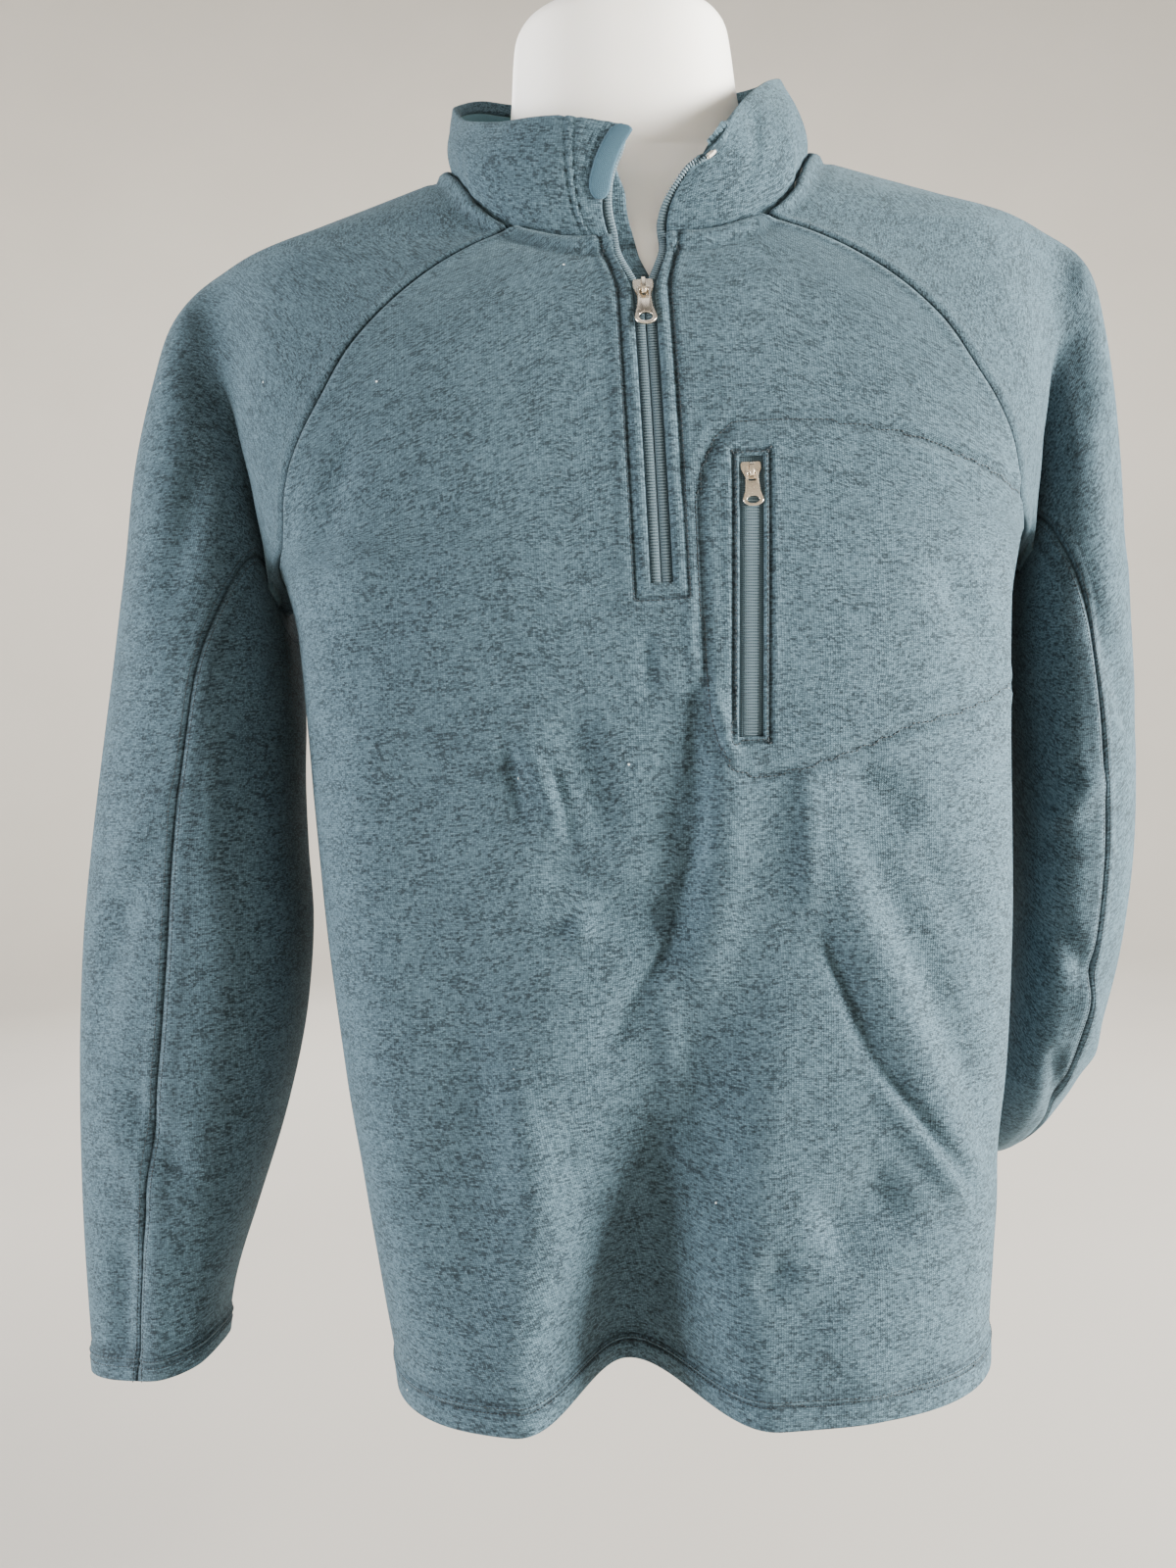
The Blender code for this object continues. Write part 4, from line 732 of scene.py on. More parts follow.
@dataclass(frozen=True)
class WovenTape:
    """Polyester zip tape: a dense narrow weave whose ribs run across the tape, slightly shiny."""

    name: str
    # a light and a dark copy of the tape's colour, for painted light and shade of its ribs
    light: str = "#536A75"
    dark: str = "#28373F"
    rib: float = 0.9  # as drawn, mm; the real ribs are about 0.6
    warp: float = 1.1

    def build(self) -> bpy.types.Material:
        """The material."""
        s = Shader(self.name)
        cloth = s.add("UVMap", uv_map="Knit").outputs[0]
        axes = s.add("SeparateXYZ", {0: cloth})
        rib = s.maths("SINE", s.maths("MULTIPLY", axes.outputs[1], 2000.0 * math.pi / self.rib))
        warp = s.maths("SINE", s.maths("MULTIPLY", axes.outputs[0], 2000.0 * math.pi / self.warp))
        # the crests of the ribs and warp take the light colour and the dips between them the dark:
        # painted light and shade of the weave
        weave = s.maths("MULTIPLY_ADD", warp, 0.25, s.maths("MULTIPLY_ADD", rib, 0.3, 0.5))
        colour = s.mix(weave, linear(self.dark), linear(self.light))
        normal = s.bump(weave, 0.5, 0.0003)
        return s.finish(Base_Color=colour, Normal=normal, Roughness=0.7, Specular_IOR_Level=0.4)


@dataclass(frozen=True)
class Thread:
    """Spun polyester sewing thread: two twisted plies, slightly shiny."""

    name: str
    colour: str

    def build(self) -> bpy.types.Material:
        """The material."""
        s = Shader(self.name)
        twist = s.noise(s.spot(), 2600.0, 1.0)
        colour = s.mix(s.maths("MULTIPLY", twist, 0.4), linear(self.colour), linear("#22323A"))
        return s.finish(Base_Color=colour, Normal=s.bump(twist, 0.4, 0.0001), Roughness=0.6)


@dataclass(frozen=True)
class PlatedMetal:
    """Die-cast zinc with a nickel plate: bright, with the fine scuffs of handling."""

    name: str
    colour: str
    rough: float

    def build(self) -> bpy.types.Material:
        """The material."""
        s = Shader(self.name)
        spot = s.spot()
        haze = s.noise(spot, 700.0, 4.0)
        rough = s.ramp(haze, 0.3, 0.7, self.rough, self.rough + 0.1)
        colour = s.mix(haze, linear(self.colour), linear("#CDC2B2"))
        normal = s.bump(s.noise(spot, 4000.0, 2.0), 0.08, 0.0001)
        return s.finish(Base_Color=colour, Normal=normal, Roughness=rough, Metallic=1.0)


@dataclass(frozen=True)
class MouldedShell:
    """Blow-moulded polyethylene: white, satin, with a faint unevenness from the mould."""

    name: str = "white_polyethylene"

    def build(self) -> bpy.types.Material:
        """The material."""
        s = Shader(self.name)
        spot = s.spot()
        wave = s.noise(spot, 18.0, 2.0)
        height = s.maths("MULTIPLY_ADD", s.noise(spot, 900.0, 2.0), 0.12, wave)
        return s.finish(
            Base_Color=s.mix(wave, linear("#FFFEFA"), linear("#FBF7EE")),
            Normal=s.bump(height, 0.12, 0.0012),
            Roughness=s.ramp(wave, 0.3, 0.7, 0.34, 0.44),
            Subsurface_Weight=0.12,
            Subsurface_Radius=(0.01, 0.008, 0.006),
            Subsurface_Scale=0.4,
        )


@dataclass(frozen=True)
class PaleFloor:
    """A plain pale studio floor and sweep, matt."""

    name: str = "pale_sweep"

    def build(self) -> bpy.types.Material:
        """The material."""
        s = Shader(self.name)
        colour = s.mix(s.noise(s.spot(), 3.0, 3.0), linear("#C6C1B9"), linear("#BEB9B1"))
        return s.finish(Base_Color=colour, Roughness=0.9)


class Finish(Enum):
    """The finishes of the object, by the piece of stock each one is."""

    KNIT = SweaterKnit("heather_sweater_knit")
    BRUSHED = BrushedBack("brushed_fleece_back")
    # the two plain jerseys each come as a light and a dark copy of one colour, for painted light and
    # shade of their stitches
    LINING = PlainJersey("plain_teal_jersey", "#507680", "#2F4C54")
    GUARD = PlainJersey("plain_slate_jersey", "#436273", "#2A424F")
    # the zip tape comes as a light and a dark copy of one colour, for painted light and shade of its
    # ribs
    TAPE = WovenTape("woven_zip_tape")
    COIL = Thread("zip_coil", "#6C818C")
    THREAD = Thread("slate_thread", "#131D23")
    METAL = PlatedMetal("nickel_plated_zinc", "#F0E4D2", 0.2)
    STOP = PlatedMetal("bright_stop", "#DCDCDC", 0.3)
    STEEL = PlatedMetal("chromed_steel", "#D2D4D6", 0.12)
    SHELL = MouldedShell()
    FLOOR = PaleFloor()

    def material(self) -> bpy.types.Material:
        """The built material, made once."""
        return bpy.data.materials.get(self.value.name) or self.value.build()


# ------------------------------------------------------------------ meshes
def link(name: str, mesh: bpy.types.Mesh) -> Piece:
    """An object of a mesh, in the scene, at the origin."""
    made = bpy.data.objects.new(name, mesh)
    bpy.context.scene.collection.objects.link(made)
    return made


def baked(source: Piece) -> Piece:
    """The object with its modifiers turned into plain mesh."""
    bpy.context.view_layer.update()
    graph = bpy.context.evaluated_depsgraph_get()
    mesh = bpy.data.meshes.new_from_object(source.evaluated_get(graph))
    source.modifiers.clear()
    source.data = mesh
    return source


@dataclass
class Shell:
    """A closed cloth shell between two grids of points, with the cloth's own map.

    Attributes:
        outer: Grid of points of the face, mm.
        inner: The same grid on the back.
        across: How far each point lies along its course, mm, with one more column if closed.
        along: How far each point lies along its wale, mm, likewise.
        keep: Which cells are cloth.
        closed: Whether the last column joins the first.
        hollow: Painted shade on each point of the face, deepest in seams, creases and stitched lines, 0
            to 1.
    """

    outer: Array
    inner: Array
    across: Array
    along: Array
    keep: Array | None = None
    closed: bool = False
    hollow: Array | None = None

    def build(self, name: str, face: Finish, back: Finish) -> Piece:
        """The shell as an object.

        Args:
            name: Name of the piece.
            face: Finish of the face and the rims.
            back: Finish of the back.

        Returns:
            The object, at the origin.
        """
        rows, columns = self.outer.shape[:2]
        width = columns if self.closed else columns - 1
        keep = np.ones((rows - 1, width), bool) if self.keep is None else self.keep
        wide = self.across.shape[1]
        i, j = np.nonzero(keep)
        nxt = (j + 1) % columns
        a, b = i * columns + j, i * columns + nxt
        c, d = a + columns, b + columns
        ua, ub = i * wide + j, i * wide + (j + 1 if self.closed else nxt)
        uc, ud = ua + wide, ub + wide
        size = rows * columns
        flat = self.outer.reshape(-1, 3)
        # which way round makes the face point outward
        turn = np.cross(flat[b] - flat[a], flat[c] - flat[a])
        outward = (flat - self.inner.reshape(-1, 3))[a]
        direct = float((turn * outward).sum(-1).mean()) < 0
        faces = [np.stack([a, b, d, c], 1), np.stack([a, c, d, b], 1) + size]
        maps = [np.stack([ua, ub, ud, uc], 1), np.stack([ua, uc, ud, ub], 1)]
        slots = [np.zeros(len(a), int), np.ones(len(a), int)]
        above = np.vstack([np.zeros((1, width), bool), keep[:-1]])[i, j]
        below = np.vstack([keep[1:], np.zeros((1, width), bool)])[i, j]
        if self.closed:
            before, after = np.roll(keep, 1, 1)[i, j], np.roll(keep, -1, 1)[i, j]
        else:
            none = np.zeros((rows - 1, 1), bool)
            before = np.hstack([none, keep[:, :-1]])[i, j]
            after = np.hstack([keep[:, 1:], none])[i, j]
        for joined, p, q, up, uq in (
            (above, b, a, ub, ua),
            (after, d, b, ud, ub),
            (below, c, d, uc, ud),
            (before, a, c, ua, uc),
        ):
            rim = ~joined
            faces.append(np.stack([p[rim], q[rim], q[rim] + size, p[rim] + size], 1))
            maps.append(np.stack([up[rim], uq[rim], uq[rim], up[rim]], 1))
            slots.append(np.zeros(int(rim.sum()), int))
        quads, codes = np.concatenate(faces), np.concatenate(maps)
        if direct:
            quads, codes = quads[:, ::-1], codes[:, ::-1]
        used, compact = np.unique(quads, return_inverse=True)
        points = place(np.concatenate([flat, self.inner.reshape(-1, 3)]))[used]
        mesh = bpy.data.meshes.new(name)
        mesh.from_pydata(points.tolist(), [], compact.reshape(quads.shape).tolist())
        layer = mesh.uv_layers.new(name="Knit")
        chart = np.stack([self.across.ravel(), self.along.ravel()], 1)[codes.ravel()] * MM
        layer.data.foreach_set("uv", chart.ravel())
        mesh.polygons.foreach_set("material_index", np.concatenate(slots).astype(np.int32))
        # painted shade goes to the face's points; the back gets none
        if self.hollow is not None:
            depth = np.concatenate([self.hollow.ravel(), np.zeros(size)])[used]
            mesh.attributes.new("Hollow", "FLOAT", "POINT").data.foreach_set("value", depth)
        mesh.materials.append(face.material())
        mesh.materials.append(back.material())
        mesh.shade_smooth()
        mesh.update()
        return link(name, mesh)


def ring_normals(points: Array, outward: Array) -> Array:
    """Normals of a grid whose rows close round, on the side that outward is on."""
    wide = np.concatenate([points[:, -1:], points, points[:, :1]], axis=1)
    round_it = (wide[:, 2:] - wide[:, :-2]) / 2
    normals = unit(np.cross(round_it, np.gradient(points, axis=0)))
    return normals * np.sign((normals * outward).sum(-1).mean())


def join_rings(maker: bmesh.types.BMesh, rings: list[list[bmesh.types.BMVert]]) -> None:
    """Quads between each ring of vertices and the next."""
    for upper, lower in zip(rings, rings[1:]):
        for i, start in enumerate(upper):
            j = (i + 1) % len(upper)
            maker.faces.new((start, upper[j], lower[j], lower[i]))


def revolve_rows(rows: list[Array], name: str, finish: Finish) -> Piece:
    """A closed skin over rings of points, capped at both ends."""
    maker = bmesh.new()
    loops = [[maker.verts.new(p) for p in place(row)] for row in rows]
    join_rings(maker, loops)
    for loop in (loops[0], loops[-1]):
        middle = maker.verts.new(sum((v.co for v in loop), Vector()) / len(loop))
        for i, start in enumerate(loop):
            maker.faces.new((start, loop[(i + 1) % len(loop)], middle))
    return finish_solid(maker, name, finish, 60)


def finish_solid(maker: bmesh.types.BMesh, name: str, finish: Finish, angle: float) -> Piece:
    """An object from a bmesh with its normals outward and its edges sharp past an angle."""
    bmesh.ops.recalc_face_normals(maker, faces=maker.faces)
    mesh = bpy.data.meshes.new(name)
    maker.to_mesh(mesh)
    maker.free()
    mesh.shade_smooth()
    mesh.set_sharp_from_angle(angle=math.radians(angle))
    mesh.materials.append(finish.material())
    return link(name, mesh)


def rounded(made: Piece, width: float, angle: float) -> Piece:
    """The object with its edges rounded past an angle."""
    step = made.modifiers.new("round", "BEVEL")
    step.width, step.segments, step.limit_method = width, 3, "ANGLE"
    step.angle_limit = math.radians(angle)
    return baked(made)


# ------------------------------------------------------------------ repeats by Geometry Nodes
@dataclass
class RepeatAlong:
    """A Geometry Nodes tree that sets small rounded parts along lines on the cloth.

    Attributes:
        spacing: Distance from part to part, mm.
        size: Length along the line, width across it and height, mm.
        finish: Finish of the parts.
    """

    spacing: float
    size: tuple[float, float, float]
    finish: Finish

    def tree(self) -> bpy.types.NodeTree:
        """The node tree, with its sizes as named inputs."""
        group = bpy.data.node_groups.new("repeat_along_line", "GeometryNodeTree")
        face = group.interface
        face.new_socket("Lines", in_out="INPUT", socket_type="NodeSocketGeometry")
        for label in ("Spacing", "Length", "Width", "Height"):
            face.new_socket(label, in_out="INPUT", socket_type="NodeSocketFloat")
        face.new_socket("Parts", in_out="OUTPUT", socket_type="NodeSocketGeometry")

        def add(kind: str, links: dict, **settings: object) -> bpy.types.Node:
            """Add a node with its settings and links."""
            return add_node(group, kind, links, settings)

        given = add("NodeGroupInput", {})
        curve = add("GeometryNodeMeshToCurve", {0: given.outputs["Lines"]})
        even = add("GeometryNodeResampleCurve", {"Curve": curve.outputs[0]}, mode="LENGTH")
        group.links.new(given.outputs["Spacing"], even.inputs["Length"])
        ball = add("GeometryNodeMeshUVSphere", {"Segments": 6, "Rings": 4, "Radius": 0.5})
        names = ("Length", "Width", "Height")
        scale = add("ShaderNodeCombineXYZ", {k: given.outputs[n] for k, n in enumerate(names)})
        shape = {"Geometry": ball.outputs["Mesh"], "Scale": scale.outputs[0]}
        part = add("GeometryNodeTransform", shape)
        tangent = add("GeometryNodeInputTangent", {})
        upward = add("GeometryNodeInputNamedAttribute", {"Name": "up"}, data_type="FLOAT_VECTOR")
        lie = add("FunctionNodeAlignRotationToVector", {"Vector": tangent.outputs[0]}, axis="X")
        stand = add(
            "FunctionNodeAlignRotationToVector",
            {"Rotation": lie.outputs[0], "Vector": upward.outputs[0]},
            axis="Z",
            pivot_axis="X",
        )
        laid = add(
            "GeometryNodeInstanceOnPoints",
            {"Points": even.outputs[0], "Instance": part.outputs[0], "Rotation": stand.outputs[0]},
        )
        real = add("GeometryNodeRealizeInstances", {0: laid.outputs[0]})
        soft = add("GeometryNodeSetShadeSmooth", {0: real.outputs[0]})
        finished = {0: soft.outputs[0], "Material": self.finish.material()}
        done = add("GeometryNodeSetMaterial", finished)
        out = add("NodeGroupOutput", {})
        group.links.new(done.outputs[0], out.inputs[0])
        return group

    def build(self, name: str, runs: Runs) -> Piece:
        """The parts along every run, as one plain mesh.

        Args:
            name: Name of the piece.
            runs: Points of each line in mm, and the cloth's normals there.

        Returns:
            The object, riding on nothing yet.
        """
        points, edges, ups = [], [], []
        for line, normals in runs:
            first = len(points)
            points += place(line).tolist()
            flipped = normals * np.array([1, 1, -1])
            ups += unit(flipped).tolist()
            edges += [(first + k, first + k + 1) for k in range(len(line) - 1)]
        mesh = bpy.data.meshes.new(name)
        mesh.from_pydata(points, edges, [])
        mesh.attributes.new("up", "FLOAT_VECTOR", "POINT").data.foreach_set("vector", np.ravel(ups))
        made = link(name, mesh)
        step = made.modifiers.new("repeat", "NODES")
        step.node_group = self.tree()
        values = dict(zip(("Spacing", "Length", "Width", "Height"), (self.spacing, *self.size)))
        for item in step.node_group.interface.items_tree:
            if item.name in values and item.in_out == "INPUT":
                step[item.identifier] = values[item.name] * MM
        return baked(made)


def seated(piece: Piece, runs: Runs, start: float = 1.32, lift: float = 0.1) -> Runs:
    """Lines laid on a piece's own mesh.

    Args:
        piece: The piece of cloth.
        runs: Lines near the cloth.
        start: How far above each line the search for the cloth starts, mm.
        lift: How far above the cloth they run, mm.

    Returns:
        The runs, moved onto the cloth.
    """
    laid = []
    for line, normals in runs:
        above = place(line + normals * start)
        near = [piece.closest_point_on_mesh(Vector(spot))[1] for spot in above]
        found = np.array(near) / MM
        found[:, 2] = -found[:, 2] - HOOK_RISE
        laid.append((found + normals * lift, normals))
    return laid


STITCH = RepeatAlong(2.5, (2.15, 0.7, 0.5), Finish.THREAD)
COVER = RepeatAlong(2.1, (1.75, 0.6, 0.45), Finish.THREAD)
COIL_RIB = RepeatAlong(1.5, (0.95, 4.6, 0.7), Finish.COIL)
POCKET_RIB = RepeatAlong(1.4, (0.85, 9.0, 0.6), Finish.COIL)


# ------------------------------------------------------------------ panels
def edge_distance(points: Array) -> Array:
    """Distance of each point of a grid from the grid's nearest edge."""
    run, fall = reach(points, 1), reach(points, 0)
    return np.minimum(np.minimum(run, run[:, -1:] - run), np.minimum(fall, fall[-1:] - fall))


def shell_of(
    points: Array,
    normals: Array,
    relief: Array | float,
    edge: Array,
    thickness: float = CLOTH,
    lift: float = 0.0,
    keep: Array | None = None,
    closed: bool = False,
    hollow: Array | None = None,
) -> Shell:
    """A cloth shell with rounded edges.

    Args:
        points: Grid of points of the worn surface, mm.
        normals: Outward normals there.
        relief: How far the face stands off the surface.
        edge: Distance of each point from the piece's nearest edge.
        thickness: Of the cloth.
        lift: Of the whole piece off the surface.
        keep: Which cells are cloth.
        closed: Whether the last column joins the first.
        hollow: Painted shade on each point, deepest in seams, creases and stitched lines, 0 to 1.

    Returns:
        The shell, with its map along the grid.
    """
    drop = roll(edge, thickness * ROUNDING)
    face = points + normals * (lift + relief - drop)[..., None]
    back = points + normals * (lift - thickness + np.minimum(relief, 0) * 0.6 + drop)[..., None]
    run = reach(points, 1)
    if closed:
        last = np.linalg.norm(points[:, :1] - points[:, -1:], axis=-1)
        run = np.hstack([run, run[:, -1:] + last])
    middle = run.shape[1] // 2
    run = run - run[:, middle : middle + 1]
    fall = reach(points, 0)
    fall = fall - fall[-1:]
    if closed:
        fall = np.hstack([fall, fall[:, :1]])
    return Shell(face, back, run, -fall, keep, closed, hollow)


def painted_seam_shade(relief: Array, sewn: Array, band: Array | None = None) -> Array:
    """Painted shade at each point of a grid, 0 to 1, by how deep in a seam or a stitched line it lies.

    Args:
        relief: How far the cloth stands off its surface there, mm.
        sewn: Distance from the nearest sewn edge.
        band: Distance from a seam whose edges make a roll beside it.

    Returns:
        The painted shade at each point.
    """
    # painted shade where the relief dips below its neighbours, along sewn edges, and in the crease
    # below a seam's roll
    found = np.zeros(relief.shape)
    found[1:-1] = (relief[:-2] + relief[2:]) / 2 - relief[1:-1]
    beside = (relief[:, :-2] + relief[:, 2:]) / 2 - relief[:, 1:-1]
    found[:, 1:-1] = np.maximum(found[:, 1:-1], beside)
    found = np.maximum(np.clip(found / 0.55, 0, 1), np.exp(-((sewn / 1.1) ** 2)))
    return found if band is None else np.maximum(found, -groove(band, 10.2, 2.4, 0.55))


def turned_edge(distance: Array, first: float, second: float) -> Array:
    """Relief of a hem: cloth turned up double and held by two rows of stitches."""
    double = 1.5 * (1 - fade(distance, second + 0.4, second + 2.4))
    dents = groove(distance, first, 1.0, 1.3) + groove(distance, second, 1.0, 1.3)
    return double + dents


def seam_relief(distance: Array) -> Array:
    """Relief beside a seam: the cloth dips into it and stands up a little behind."""
    return groove(distance, 0.0, 1.7, 0.8) - groove(distance, 4.6, 2.4, 0.6)


def neck_band(distance: Array) -> Array:
    """Relief below the collar's seam: a soft roll over the seam's edges, then a crease."""
    swell = 2.8 * np.sin(math.pi * np.clip((distance + 1.2) / 9.7, 0, 1)) ** 0.6
    return swell + groove(distance, 10.4, 2.8, 1.1)


# distances at which a grid has stations beside a seam, the neck seam and a hem, mm
NEAR_EDGE = [0.0, 0.3, 0.7, 1.2, 2.0, 3.2, 4.6, 6.4]
NEAR_NECK = [*NEAR_EDGE, 8.5, 11, 13.5]
NEAR_HEM = [0.0, 0.3, 0.7, 1.2, 2.0, 3.2, 5.0, 7.5, 10.4, 12.0, 13.6, 14.6, 16.0, 17.4, 18.6, 20.5]


@dataclass
class FrontPanel:
    """The front, cut in one, slit for the zip and with a window for the pocket's zip."""

    pitch: float = 3.3
    placket: float = 7.4  # topstitch beside the zip
    frame: float = 3.0  # topstitch round the pocket's window
    cut: list[float] = field(default_factory=lambda: [0.0, 0.35, 0.9, 1.8, 3.0, 4.4, 6.0, 7.4, 8.8])
    shell: Shell | None = None

    def bag_line(self) -> Line:
        """The stitching that holds the pocket bag, from seam to seam, as x and drop."""
        top = [(float(x), float(d)) for x, d, _ in POCKET_BAG]
        low = [(float(x), float(d)) for x, _, d in POCKET_BAG]
        return [(192.0, 292.0), (182.0, 287.0), *top[::-1], *low, (188.0, 390.0)]

    def slit(self, x: Array, drop: Array) -> Array:
        """Distance outside the zip's opening."""
        return np.maximum(np.abs(x) - slot_half(drop), drop - ZIP_END_DROP)

    def window(self, x: Array, drop: Array) -> Array:
        """Distance outside the pocket's window."""
        side = np.abs(x - pocket_x(drop)) - POCKET_HALF
        return np.maximum(side, np.maximum(POCKET_TOP[1] - drop, drop - POCKET_END[1]))

    def relief(self, x: Array, drop: Array) -> Array:
        """Stitched lines round the panel's two openings."""
        slit, window = self.slit(x, drop), self.window(x, drop)
        made = groove(slit, self.placket, 1.2, 1.1) - groove(slit, 3.0, 2.2, 1.0)
        made = made - groove(slit, 10.4, 2.4, 0.6)
        made = made + groove(window, self.frame, 1.0, 1.2) - groove(window, 1.2, 1.0, 0.5)
        return made - groove(window, 5.8, 2.2, 0.5)

    def bag_relief(self, x: Array, drop: Array) -> tuple[Array, Array]:
        """Relief along the stitching of the pocket bag, and the distance from it."""
        away = line_distance(x, drop, self.bag_line())
        return groove(away, 0.0, 2.5, 1.5) - groove(away, 6.0, 2.8, 0.7), away

    def rows(self) -> Array:
        """Drops of the panel's rows, finer at its edges and round its openings."""
        height = np.array([HEM_DROP - NECK_CORNER_DROP])
        rows = NECK_CORNER_DROP + spread(height, NEAR_NECK, NEAR_HEM, self.pitch)[0]
        extra = [ZIP_END_DROP + k for k in self.cut]
        extra += [POCKET_TOP[1] - k for k in self.cut[:7]]
        extra += [POCKET_END[1] + k for k in self.cut[:7]]
        extra += [POCKET_TOP[1] + 1.6, POCKET_END[1] - 1.6, ZIP_END_DROP - 1.6]
        rows = [r for r in rows if min(abs(r - e) for e in extra) > 0.8]
        return np.array(sorted([*rows, *extra]))

    def grid(self) -> tuple[Array, Array, Array]:
        """Turn and drop of each point, and which cells are cloth."""
        drops = self.rows()
        edge = SKIN.front_edge(drops)
        slit = SKIN.turn_of_x(slot_half(drops), drops)
        near = SKIN.turn_of_x(pocket_x(drops) - POCKET_HALF, drops)
        far = SKIN.turn_of_x(pocket_x(drops) + POCKET_HALF, drops)
        cut = self.cut
        parts = []
        for start, end, first, last, pitch in (
            (-edge, -slit, NEAR_EDGE, cut, self.pitch),
            (-slit, slit, [0.0], [0.0], 2.8),
            (slit, near, cut, cut, self.pitch),
            (near, far, [0.0], [0.0], 3.0),
            (far, edge, cut, NEAR_EDGE, self.pitch),
        ):
            lengths, read = SKIN.turns_at(start, end, drops)
            parts.append(read(spread(lengths, first, last, pitch)))
        turns = np.hstack([parts[0], *[p[:, 1:] for p in parts[1:]]])
        ends = np.cumsum([parts[0].shape[1] - 1, *[p.shape[1] - 1 for p in parts[1:]]])
        # towards the neck each row bends to follow the neck seam
        ease = np.clip(1 - (drops - drops[0]) / NECK_BEND, 0, 1)[:, None]
        neck = SKIN.neck(turns * NECK_CORNER_TURN / edge[:, None])
        bent = drops[:, None] + (neck - NECK_CORNER_DROP) * ease
        x = SKIN.section(turns, drops[:, None])[..., 0]
        turns = np.sign(x) * SKIN.turn_of_x(np.abs(x), bent)
        keep = np.ones((len(drops) - 1, turns.shape[1] - 1), bool)
        open_rows = drops[:-1] < ZIP_END_DROP - 0.01
        keep[np.ix_(open_rows, np.arange(ends[0], ends[1]))] = False
        inside = (drops[:-1] > POCKET_TOP[1] - 0.01) & (drops[:-1] < POCKET_END[1] - 0.01)
        keep[np.ix_(inside, np.arange(ends[2], ends[3]))] = False
        return turns, bent, keep

    def surface(self, x: Array, drop: Array) -> tuple[Array, Array]:
        """Points of the worn surface at places of the front view, and the normals there."""
        turn = np.sign(x) * SKIN.turn_of_x(np.abs(x), drop)
        return SKIN.at(turn, drop), SKIN.normal(turn, drop)

    def build(self) -> Piece:
        """The panel."""
        turns, drops, keep = self.grid()
        points, normals = SKIN.at(turns, drops), SKIN.normal(turns, drops)
        base = SKIN.section(turns, drops)
        shift = SKIN.seam_shift(True, drops[:, -1])
        points[:, -1] -= shift
        points[:, 0] -= shift * np.array([-1, 1, 1])
        run, fall = reach(points, 1), reach(points, 0)
        sides = np.minimum(run, run[:, -1:] - run)
        top, bottom = fall, fall[-1:] - fall
        x, drop = base[..., 0], base[..., 2]
        slit, window = self.slit(x, drop), self.window(x, drop)
        relief = self.relief(x, drop) + turned_edge(bottom, *HEM_STITCHES)
        relief = relief + seam_relief(sides) * fade(bottom, 2, 8)
        bag, away = self.bag_relief(x, drop)
        # painted shade in the dents of seams and stitched lines, along sewn edges, below the neck's
        # roll and along the pocket bag's stitching
        hollow = painted_seam_shade(relief, np.minimum(sides, top), top)
        hollow = np.maximum(hollow, -groove(away, 0.0, 1.7, 0.75))
        relief = relief + bag + neck_band(top) * fade(sides, 0, 6)
        edge = np.minimum(np.minimum(sides, top), bottom)
        for outside in (slit, window):
            edge = np.minimum(edge, np.where(outside > -0.2, np.maximum(outside, 0), FAR))
        self.shell = shell_of(points, normals, relief, edge, keep=keep, hollow=hollow)
        return self.shell.build("front_panel_knit", Finish.KNIT, Finish.BRUSHED)

    def stitch_runs(self) -> Runs:
        """Topstitches beside the zip, round the pocket's window and round its bag."""
        end = ZIP_END_DROP + self.placket
        down = np.arange(158.0, end, 2.0)
        out = slot_half(down) + self.placket
        x = np.concatenate([out, np.linspace(out[-1], -out[-1], 10), -out[::-1]])
        drop = np.concatenate([down, np.full(10, end), down[::-1]])
        runs = [self.surface(x, drop)]
        half = POCKET_HALF + self.frame
        down = np.linspace(POCKET_TOP[1] - self.frame, POCKET_END[1] + self.frame, 60)
        across = np.linspace(-half, half, 10)
        right, left = pocket_x(down) + half, pocket_x(down) - half
        low, high = pocket_x(down[-1]) - across, pocket_x(down[0]) + across
        x = np.concatenate([right, low, left[::-1], high])
        drop = np.concatenate([down, np.full(10, down[-1]), down[::-1], np.full(10, down[0])])
        runs.append(self.surface(x, drop))
        line = np.array(self.bag_line())
        run = reach(line, 0)
        at = np.linspace(0, run[-1], 220)
        runs.append(self.surface(*(np.interp(at, run, line[:, k]) for k in range(2))))
        return runs


def hem_runs(shell: Shell, lines: tuple[float, float], columns: slice = slice(None)) -> Runs:
    """Rows of stitches at set distances above a shell's last row."""
    up = np.median(reach(shell.outer[::-1], 0)[::-1], axis=1)
    normals = unit(shell.outer - shell.inner)
    rows = [int(np.argmin(np.abs(up - line))) for line in lines]
    return [(shell.outer[row, columns], normals[row, columns]) for row in rows]


